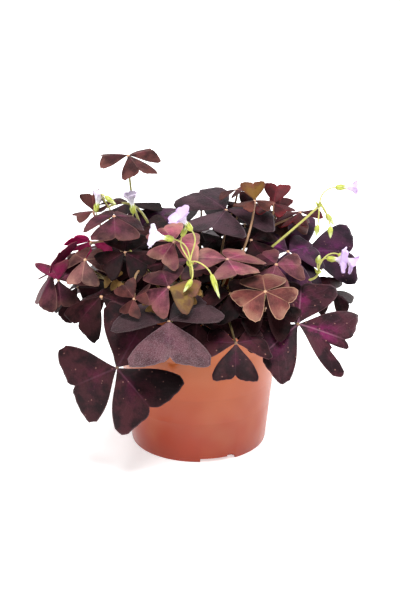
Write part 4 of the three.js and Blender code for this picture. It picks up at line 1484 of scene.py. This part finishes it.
@dataclass
class Whorl:
    """A ring of petals or sepals round an axis, each a sheet that overlaps the next.

    Attributes:
        start: the ring's foot, in millimetres.
        axis: the way that it faces.
        length: from its foot to its tips.
        profile: radius of the wall at shares of the length.
        half_angle: how far a petal reaches round, to each side, in degrees.
        point: how much a petal narrows towards its tip, from 0 to 1.
    """

    start: Vector
    axis: Vector
    length: float
    profile: list[tuple[float, float]]
    half_angle: float
    point: float
    thickness: float = 0.22
    count: int = 5
    ruffle: float = 0.0

    def radius(self, share: float) -> float:
        """The wall's radius at a share of the length, by a smooth line through the profile."""
        for (a, ra), (b, rb) in zip(self.profile, self.profile[1:]):
            if share <= b:
                return ra + (rb - ra) * smooth(a, b, share)
        return self.profile[-1][1]

    def petal(self, number: int, seed: int) -> bpy.types.Object:
        """One petal of the ring."""
        middle = 2 * math.pi * number / self.count
        turn = turn_to(self.axis)

        def place(u: float, v: float) -> Vector:
            """A point of the petal, in metres."""
            t = 2 * u - 1
            narrow = 1 - self.point * smooth(0.35, 1, v) ** 1.3
            tip = 1 - 0.16 * abs(t) ** 2.6 - 0.03 * math.exp(-((t / 0.2) ** 2))
            share = v * (1 - (1 - tip) * smooth(0.4, 1, v))
            angle = middle + math.radians(self.half_angle) * t * narrow
            wall = self.radius(v) + 0.16 * t * smooth(0.1, 0.5, v)
            frill = self.ruffle * smooth(0.55, 1, v) * math.sin(5 * t + 2.1 * number + seed)
            wall += frill
            local = Vector((wall * math.cos(angle), wall * math.sin(angle), self.length * share))
            local.z += 0.6 * frill
            return (self.start + turn @ local) * MM

        return Bench.sheet(f"petal_{number}", 12, 14, place)

    def build(self, seed: int) -> bpy.types.Object:
        """Builds the ring as thin walls."""
        ring = Bench.join([self.petal(i, seed) for i in range(self.count)], "ring")
        Bench.modify(ring, "SOLIDIFY", thickness=self.thickness * MM, offset=0)
        return ring


@dataclass
class FlowerStem:
    """A flower stem with its flower stalks, calyces and buds, and its flowers.

    Attributes:
        plan: the stem's points and what it carries.
        number: its number in the list, which varies its flowers.
    """

    plan: StemPlan
    number: int
    stem_radius: float = 0.85
    stalk_radius: float = 0.5
    calyx_length: float = 6.5
    root_depth: float = 5.5
    petal_gap: float = 0.3

    def main_run(self) -> Run:
        """The stem's own curve."""
        root = Vector((*self.plan.root, SOIL_TOP - self.root_depth))
        points = [Vector(p) * MM for p in (self.plan.low, self.plan.high, self.plan.head)]
        return Run(root * MM, *points, self.stem_radius * 1.1, self.stem_radius * 0.85)

    def runs(self) -> list[Run]:
        """The curves of the stem and of all its flower stalks."""
        head = Vector(self.plan.head)
        found = [self.main_run()]
        for flower in self.plan.flowers:
            base, out = self.axis(flower.base, flower.mouth)
            found.append(flower_run(head, base + out, out, 0.45, self.stalk_radius))
        for bud in self.plan.buds:
            base, out = self.axis(bud.base, bud.tip)
            found.append(flower_run(head, base + out, out, 0.3, self.stalk_radius))
        return found

    def axis(self, base: tuple, tip: tuple) -> tuple[Vector, Vector]:
        """The foot of a flower or bud, and the way that it faces."""
        foot = Vector(base)
        return foot, (Vector(tip) - foot).normalized()

    def calyx(self, base: Vector, out: Vector, length: float, fat: float) -> list[bpy.types.Object]:
        """A cup of five sepals and the receptacle that they sit on."""
        profile = [(0, 0.75), (0.12, fat * 0.85), (0.5, fat), (1, fat * 0.72)]
        sepals = Whorl(base, out, length, profile, 38, 0.82, 0.3).build(self.number)
        seat = [(0.2, -0.2), (0.7, 0.0), (fat * 0.8, 0.6), (fat * 0.8, 1.2), (0.2, 1.5)]
        return [sepals, Bench.bead("cup", seat, 14, base, out)]

    def bracts(self) -> bpy.types.Object:
        """The small pointed scales round the head, where the flower stalks part."""
        profile = [(0, 0.7), (0.3, 1.7), (1, 2.3)]
        start = Vector(self.plan.head) - Vector((0, 0, 0.8))
        return Whorl(start, Vector((0, 0, 1)), 3.4, profile, 34, 0.9, 0.3).build(self.number)

    def bud(self, bud: BudPlan) -> tuple[list[bpy.types.Object], bpy.types.Object]:
        """A closed bud: its sepals, and the furled petals that show at its tip."""
        base, out = self.axis(bud.base, bud.tip)
        length = (Vector(bud.tip) - base).length
        green = self.calyx(base, out, 0.68 * length, 1.5)
        furled = [(0.2, 0.4), (1.0, 0.3 * length), (1.05, 0.6 * length)]
        furled += [(0.7, 0.85 * length), (0.15, length)]
        return green, Bench.bead("furled", furled, 12, base, out)

    def build_stem(
        self, skin: bpy.types.Material, calyx_skin: bpy.types.Material, petal_skin: bpy.types.Material
    ) -> bpy.types.Object:
        """Builds all that is green, with the furled tips of its buds.

        Args:
            skin: the stem's and the flower stalks' material.
            calyx_skin: the sepals' material.
            petal_skin: the furled petals' material.

        Returns:
            The finished stem.
        """
        stalks = Bench.tubes("stalks", self.runs(), 3, 30)
        green = [self.bracts()]
        for flower in self.plan.flowers:
            base, out = self.axis(flower.base, flower.mouth)
            green += self.calyx(base, out, self.calyx_length, 1.75)
        tips = []
        for bud in self.plan.buds:
            sepals, tip = self.bud(bud)
            green += sepals
            tips.append(tip)
        for index, pieces in enumerate(([stalks], green, tips)):
            for piece in pieces:
                Bench.dress(piece, skin, calyx_skin, petal_skin, index=index)
        stem = Bench.join([stalks, *green, *tips], f"{self.plan.name}_flower_stem")
        Bench.smooth(stem)
        return stem

    def build_flower(
        self, flower: FlowerPlan, skin: bpy.types.Material, number: int
    ) -> bpy.types.Object:
        """Builds one flower's petals.

        Args:
            flower: where it stands and how wide open it is.
            skin: the petals' material.
            number: its number on the stem.

        Returns:
            The finished flower.
        """
        base, out = self.axis(flower.base, flower.mouth)
        start = base + out * (self.calyx_length + self.petal_gap - 3)
        length = (Vector(flower.mouth) - start).length
        wide = 7.4 * flower.wide
        begin = 3 / length
        profile = [
            (0, 0.95),
            (begin, 1.25),
            (begin + (1 - begin) * 0.5, 1.6 + 0.2 * wide),
            (begin + (1 - begin) * 0.85, 1.5 + 0.6 * wide),
            (1, 0.9 + wide),
        ]
        whorl = Whorl(start, out, length, profile, 42, 0.0, 0.24, ruffle=0.05 * wide)
        ring = whorl.build(self.number + number)
        petals = Bench.join([ring], f"{self.plan.name}_flower_{number}")
        Bench.dress(petals, skin)
        Bench.smooth(petals)
        return petals


# Pot and soil

@dataclass
class Pot:
    """The nursery pot, in millimetres, with its moulded lines, foot notches and drain holes."""

    height: float = 105.0
    foot_radius: float = 45.0
    taper: float = 0.105
    wall: float = 1.8
    foot_ring: float = 3.0
    floor_lift: float = 3.0
    floor_thickness: float = 2.0
    rim_band: float = 12.0
    rim_step: float = 1.8
    line_heights: tuple[float, ...] = (28.0, 45.0, 72.0)
    line_depth: float = 0.08
    sides: int = 180
    notch_azimuths: tuple[float, ...] = (-73.0, 47.0, 167.0)
    notch_width: float = 24.0
    notch_height: float = 2.6
    vent: float = 4.0
    vent_height: float = 1.4
    holes: int = 5
    hole_circle: float = 29.0
    hole_radius: float = 4.5

    def radius(self, z: float) -> float:
        """The outside's radius at a height, without the rim's band."""
        return self.foot_radius + self.taper * z

    def profile(self) -> list[tuple[float, float]]:
        """The wall's outline from the floor's underside over the rim to the floor's top."""
        lift, floor_top = self.floor_lift, self.floor_lift + self.floor_thickness
        ring = self.foot_radius - self.foot_ring
        band = self.height - self.rim_band
        lip = self.radius(self.height) + self.rim_step
        outside = [(0.3, lift), (ring - 0.6, lift), (ring, lift - 0.6), (ring, 0.5), (ring + 0.4, 0)]
        outside += [(self.foot_radius - 0.9, 0), (self.foot_radius - 0.25, 0.3), (self.radius(1.1), 1.1)]
        for z in self.line_heights:
            depth = self.line_depth
            outside += [(self.radius(z - 0.9), z - 0.9), (self.radius(z) - depth, z - 0.3)]
            outside += [(self.radius(z) - depth, z + 0.3), (self.radius(z + 0.9), z + 0.9)]
        outside += [(self.radius(band) - 0.1, band - 0.6), (self.radius(band) + 0.3, band)]
        outside += [(self.radius(band) + self.rim_step - 0.3, band + 0.6)]
        outside += [(self.radius(band) + self.rim_step, band + 1.2), (lip - 0.05, self.height - 1.1)]
        outside += [(lip - 0.3, self.height - 0.35), (lip - 0.9, self.height)]
        inner = lip - self.rim_step - self.wall
        inside = [(inner + 0.7, self.height), (inner + 0.15, self.height - 0.3), (inner, self.height - 1)]
        inside += [(self.radius(floor_top) - self.wall, floor_top + 1), (self.radius(0) - 3.2, floor_top)]
        return outside + inside + [(0.3, floor_top)]

    def cutters(self) -> bpy.types.Object:
        """The shapes that are cut out of the foot and the floor."""
        found = []
        for azimuth in self.notch_azimuths:
            turn = Matrix.Rotation(math.radians(azimuth), 4, "Z")
            boxes = [
                ((self.foot_radius - 1, 0, 0), (12, self.notch_width, 2 * self.notch_height)),
                (
                    (self.foot_radius + 1, self.notch_width / 2 - self.vent, self.notch_height),
                    (6, self.vent, 2 * self.vent_height),
                ),
            ]
            for at, size in boxes:
                box = Bench.add(bpy.ops.mesh.primitive_cube_add, "cutter", size=1)
                box.data.transform(Matrix.Diagonal((*(s * MM for s in size), 1)))
                box.data.transform(turn @ Matrix.Translation(Vector(at) * MM))
                found.append(box)
        cylinder = bpy.ops.mesh.primitive_cylinder_add
        radius, circle = self.hole_radius * MM, self.hole_circle * MM
        for i in range(self.holes):
            angle = 2 * math.pi * i / self.holes
            at = (circle * math.cos(angle), circle * math.sin(angle), 0)
            found.append(
                Bench.add(cylinder, "cutter", vertices=32, radius=radius, depth=20 * MM, location=at)
            )
        return Bench.join(found, "cutters")

    def build(self, skin: bpy.types.Material) -> bpy.types.Object:
        """Builds the pot.

        Args:
            skin: its plastic.

        Returns:
            The finished pot.
        """
        pot = Bench.turned("nursery_pot", self.profile(), self.sides)
        cutters = self.cutters()
        cut = {"operation": "DIFFERENCE", "object": cutters, "solver": "EXACT", "use_self": True}
        Bench.modify(pot, "BOOLEAN", **cut)
        bpy.data.objects.remove(cutters)
        Bench.dress(pot, skin)
        Bench.smooth(pot, 28)
        return pot


@dataclass
class Soil:
    """The compost that fills the pot, with an uneven top and loose crumbs."""

    radius: float = 52.0
    floor: float = 5.3
    floor_radius: float = 42.6
    crumbs: int = 260
    seed: int = 11

    def height(self, x: float, y: float) -> float:
        """How high the soil's top lies at a place, in millimetres."""
        broad = noise.noise(Vector((x / 14, y / 14, 0.3)))
        small = noise.noise(Vector((x / 3.5, y / 3.5, 4.1)))
        fine = noise.noise(Vector((x / 1.4, y / 1.4, 8.2)))
        return SOIL_TOP - 2 + 1.1 * broad + 0.7 * small + 0.35 * fine

    def ground(self) -> bpy.types.Object:
        """The plug of soil."""

        def place(u: float, v: float) -> Vector:
            """A point of the plug: the top, then the side, then the underside."""
            angle = 2 * math.pi * u
            if v <= 0.8:
                r = self.radius * v / 0.8
                x, y = r * math.cos(angle), r * math.sin(angle)
                return Vector((x, y, self.height(x, y))) * MM
            share = (v - 0.8) / 0.2
            r, z = (self.floor_radius, self.floor) if share < 0.99 else (0.0, self.floor)
            if share < 0.34:
                r, z = self.radius - 0.2, SOIL_TOP - 6
            return Vector((r * math.cos(angle), r * math.sin(angle), z)) * MM

        ground = Bench.sheet("compost", 150, 60, place)
        Bench.face_out(ground)
        return ground

    def crumb(self, draw: random.Random, number: int) -> bpy.types.Object:
        """A loose crumb that lies on the soil."""
        size = draw.uniform(0.5, 1.7)
        r = self.radius * 0.96 * math.sqrt(draw.random())
        angle = draw.uniform(0, 2 * math.pi)
        x, y = r * math.cos(angle), r * math.sin(angle)
        stretch = Vector((draw.uniform(0.8, 1.6), draw.uniform(0.7, 1.1), draw.uniform(0.5, 0.9)))
        turn = Matrix.Rotation(draw.uniform(0, math.pi), 3, "Z")
        ball = bpy.ops.mesh.primitive_ico_sphere_add
        crumb = Bench.add(ball, f"crumb_{number}", subdivisions=2, radius=1)
        for vertex in crumb.data.vertices:
            lump = 1 + 0.3 * noise.noise(vertex.co * 1.4 + Vector((number, 0, 0)))
            local = turn @ (vertex.co * lump * stretch)
            vertex.co = (Vector((x, y, self.height(x, y) + 0.25 * size)) + local * size) * MM
        return crumb

    def build(self, skin: bpy.types.Material) -> bpy.types.Object:
        """Builds the soil.

        Args:
            skin: its material.

        Returns:
            The finished soil.
        """
        draw = random.Random(self.seed)
        pieces = [self.ground()]
        pieces += [self.crumb(draw, i) for i in range(self.crumbs)]
        soil = Bench.join(pieces, "compost")
        Bench.dress(soil, skin)
        Bench.smooth(soil, 50)
        return soil


# Studio

@dataclass
class Studio:
    """The pale floor, the soft lights and the camera at the photograph's place."""

    distance: float = 1.0
    elevation: float = 20.17
    target: tuple[float, float, float] = (0.00105, 0.0, 0.0966)
    lens: float = 91.06
    near_glow: str = "c8c8c8"

    def sweep(self) -> None:
        """A wide flat white floor that glows, dimmer near the plant and fully white far off."""
        floor = Bench.add(bpy.ops.mesh.primitive_plane_add, "floor", size=30, location=(0, 0, 0))
        shader = Shader("pale_floor")
        place = shader.place()
        x, y = shader.part(place, 0), shader.part(place, 1)
        far = (x * x + y * y).math("SQRT").rise(0.2, 0.9)
        shader.skin_set(
            Base_Color=colour("ececec"),
            Roughness=0.9,
            Specular_IOR_Level=0.1,
            Emission_Color=shader.mix(far, colour(self.near_glow), colour("ffffff")),
            Emission_Strength=1.0,
        )
        Bench.dress(floor, shader.material)

    def light(self, name: str, at: tuple, size: float, power: float) -> None:
        """A square soft white light that faces the plant."""
        bpy.ops.object.light_add(type="AREA", location=at)
        lamp = bpy.context.object
        lamp.name = name
        lamp.data.size = size
        lamp.data.energy = power
        aim = Vector((0, 0, 0.1)) - Vector(at)
        lamp.rotation_euler = aim.to_track_quat("-Z", "Y").to_euler()

    def build(self) -> None:
        """Sets the floor, the lights, the world and the camera."""
        self.sweep()
        self.light("key", (0.05, -0.75, 1.4), 0.6, 37)
        self.light("right_rim", (0.95, 0.7, 0.4), 0.9, 20)
        self.light("left_fill", (-1.0, -0.5, 0.4), 0.8, 3.5)
        self.light("back", (-0.2, 1.1, 1.2), 0.9, 9)
        world = bpy.data.worlds.new("studio")
        bpy.context.scene.world = world
        world.use_nodes = True
        sky = world.node_tree.nodes["Background"]
        sky.inputs["Color"].default_value = (1, 1, 1, 1)
        sky.inputs["Strength"].default_value = 0.13
        view = bpy.context.scene.view_settings
        view.view_transform = "Standard"
        rise = math.radians(self.elevation)
        back = Vector((0, -math.cos(rise), math.sin(rise)))
        at = Vector(self.target) + back * self.distance
        bpy.ops.object.camera_add(location=at)
        camera = bpy.context.object
        camera.name = "camera"
        camera.rotation_euler = (-back).to_track_quat("-Z", "Y").to_euler()
        camera.data.lens = self.lens
        camera.data.sensor_width = 36
        bpy.context.scene.camera = camera


# Assembly

@dataclass
class Shamrock:
    """The whole potted plant."""

    wardrobe: LeafWardrobe = field(default_factory=LeafWardrobe)

    def set_in(self, piece: bpy.types.Object, slot: str, *nodes: str) -> None:
        """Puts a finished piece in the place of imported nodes."""
        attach(piece, "root")
        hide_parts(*nodes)
        log.info("%s: %d faces", piece.name, len(piece.data.polygons))

    def slot_of(self, plan: LeafPlan) -> str:
        """The record's material slot of a packed leaf."""
        subparts = frame["record"]["subparts"]
        return next(s["material_slot"] for s in subparts if s["node"] == f"leaf_{plan.name}")

    def build_pot(self) -> None:
        """Builds the pot and the soil."""
        self.set_in(Pot().build(PotFinish().material()), "pot", "pot")
        self.set_in(Soil().build(SoilFinish().material()), "soil", "soil")

    def build_leaves(self) -> None:
        """Builds the leaves and the stalks that carry them."""
        knob_skin = StalkFinish("leaf_joint", "a98a62", "c09478", "5a3c2c", (80.0, 150.0)).material()
        leaves = [Leaf(plan, index) for index, plan in enumerate(LEAVES)]
        around = [Surface(bpy.data.objects["nursery_pot"])]
        for leaf in leaves:
            piece = leaf.build(self.wardrobe, knob_skin)
            around.append(Surface(piece))
            self.set_in(piece, self.slot_of(leaf.plan), f"leaf_{leaf.plan.name}")
        inner = [Leaf(plan, len(LEAVES) + i, True) for i, plan in enumerate(INNER_LEAVES)]
        pieces = [leaf.build(self.wardrobe, knob_skin) for leaf in inner]
        surfaces = [Surface(piece) for piece in pieces]
        Settling().settle(surfaces, around + surfaces)
        for leaf, piece, surface in zip(inner, pieces, surfaces):
            piece.data.transform(Matrix.Translation(surface.shift))
            leaf.hub += surface.shift / MM
            self.set_in(piece, "leaf", "leaf_stalks_front")
        self.build_stalks(leaves + inner)

    def build_stalks(self, leaves: list[Leaf]) -> None:
        """Builds the two clumps of stalks that carry the leaves."""
        skins = (
            StalkFinish("crown", "4a3322", "5c4028", "2a1c12").material(),
            StalkFinish("leaf_stalk", "6c5c30", "8e6a4c", "2c2016", (100.0, 150.0)).material(),
            StalkFinish("young_leaf_stalk", "8c8440", "a8a460", "3a3018", (110.0, 175.0)).material(),
        )
        for name, side in (("leaf_stalks_front", -1), ("leaf_stalks_back", 1)):
            own = [leaf for leaf in leaves if (leaf.plan.hub[1] < CLUMP_BORDER) == (side < 0)]
            self.set_in(StalkClump(name, side, own).build(*skins), "stalk", name)

    def build_flowers(self) -> None:
        """Builds the flower stems and their flowers."""
        stem_skin = StalkFinish("flower_stem", "8c8f3e", "b4b060", "4a4420", (100.0, 140.0)).material()
        calyx_skin = StalkFinish("calyx", "8a9a30", "a8ae48", "5c7a2c", (100.0, 130.0)).material()
        lilac = PetalFinish("lilac_petal", "c6d094", "d8c8de", "c8add8").material()
        # The white petals have a stronger painted glow, which lightens them where they stand in shade.
        white = PetalFinish("white_petal", "ccd6a0", "d8d5dc", "d8cbe0", 0.2).material()
        for number, plan in enumerate(STEMS):
            stem = FlowerStem(plan, number)
            piece = stem.build_stem(stem_skin, calyx_skin, lilac)
            self.set_in(piece, "flower_stem", f"flower_stem_{plan.name}")
            for i, flower in enumerate(plan.flowers, 1):
                skin = white if flower.white else lilac
                petals = stem.build_flower(flower, skin, i)
                self.set_in(petals, "petal", f"flower_{plan.name}_{i}")


def main() -> None:
    """Builds the plant and its studio."""
    logging.basicConfig(level=logging.INFO, format="%(message)s")
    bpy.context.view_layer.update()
    shamrock = Shamrock()
    shamrock.build_pot()
    shamrock.build_leaves()
    shamrock.build_flowers()
    Studio().build()


if __name__ == "__main__":
    main()
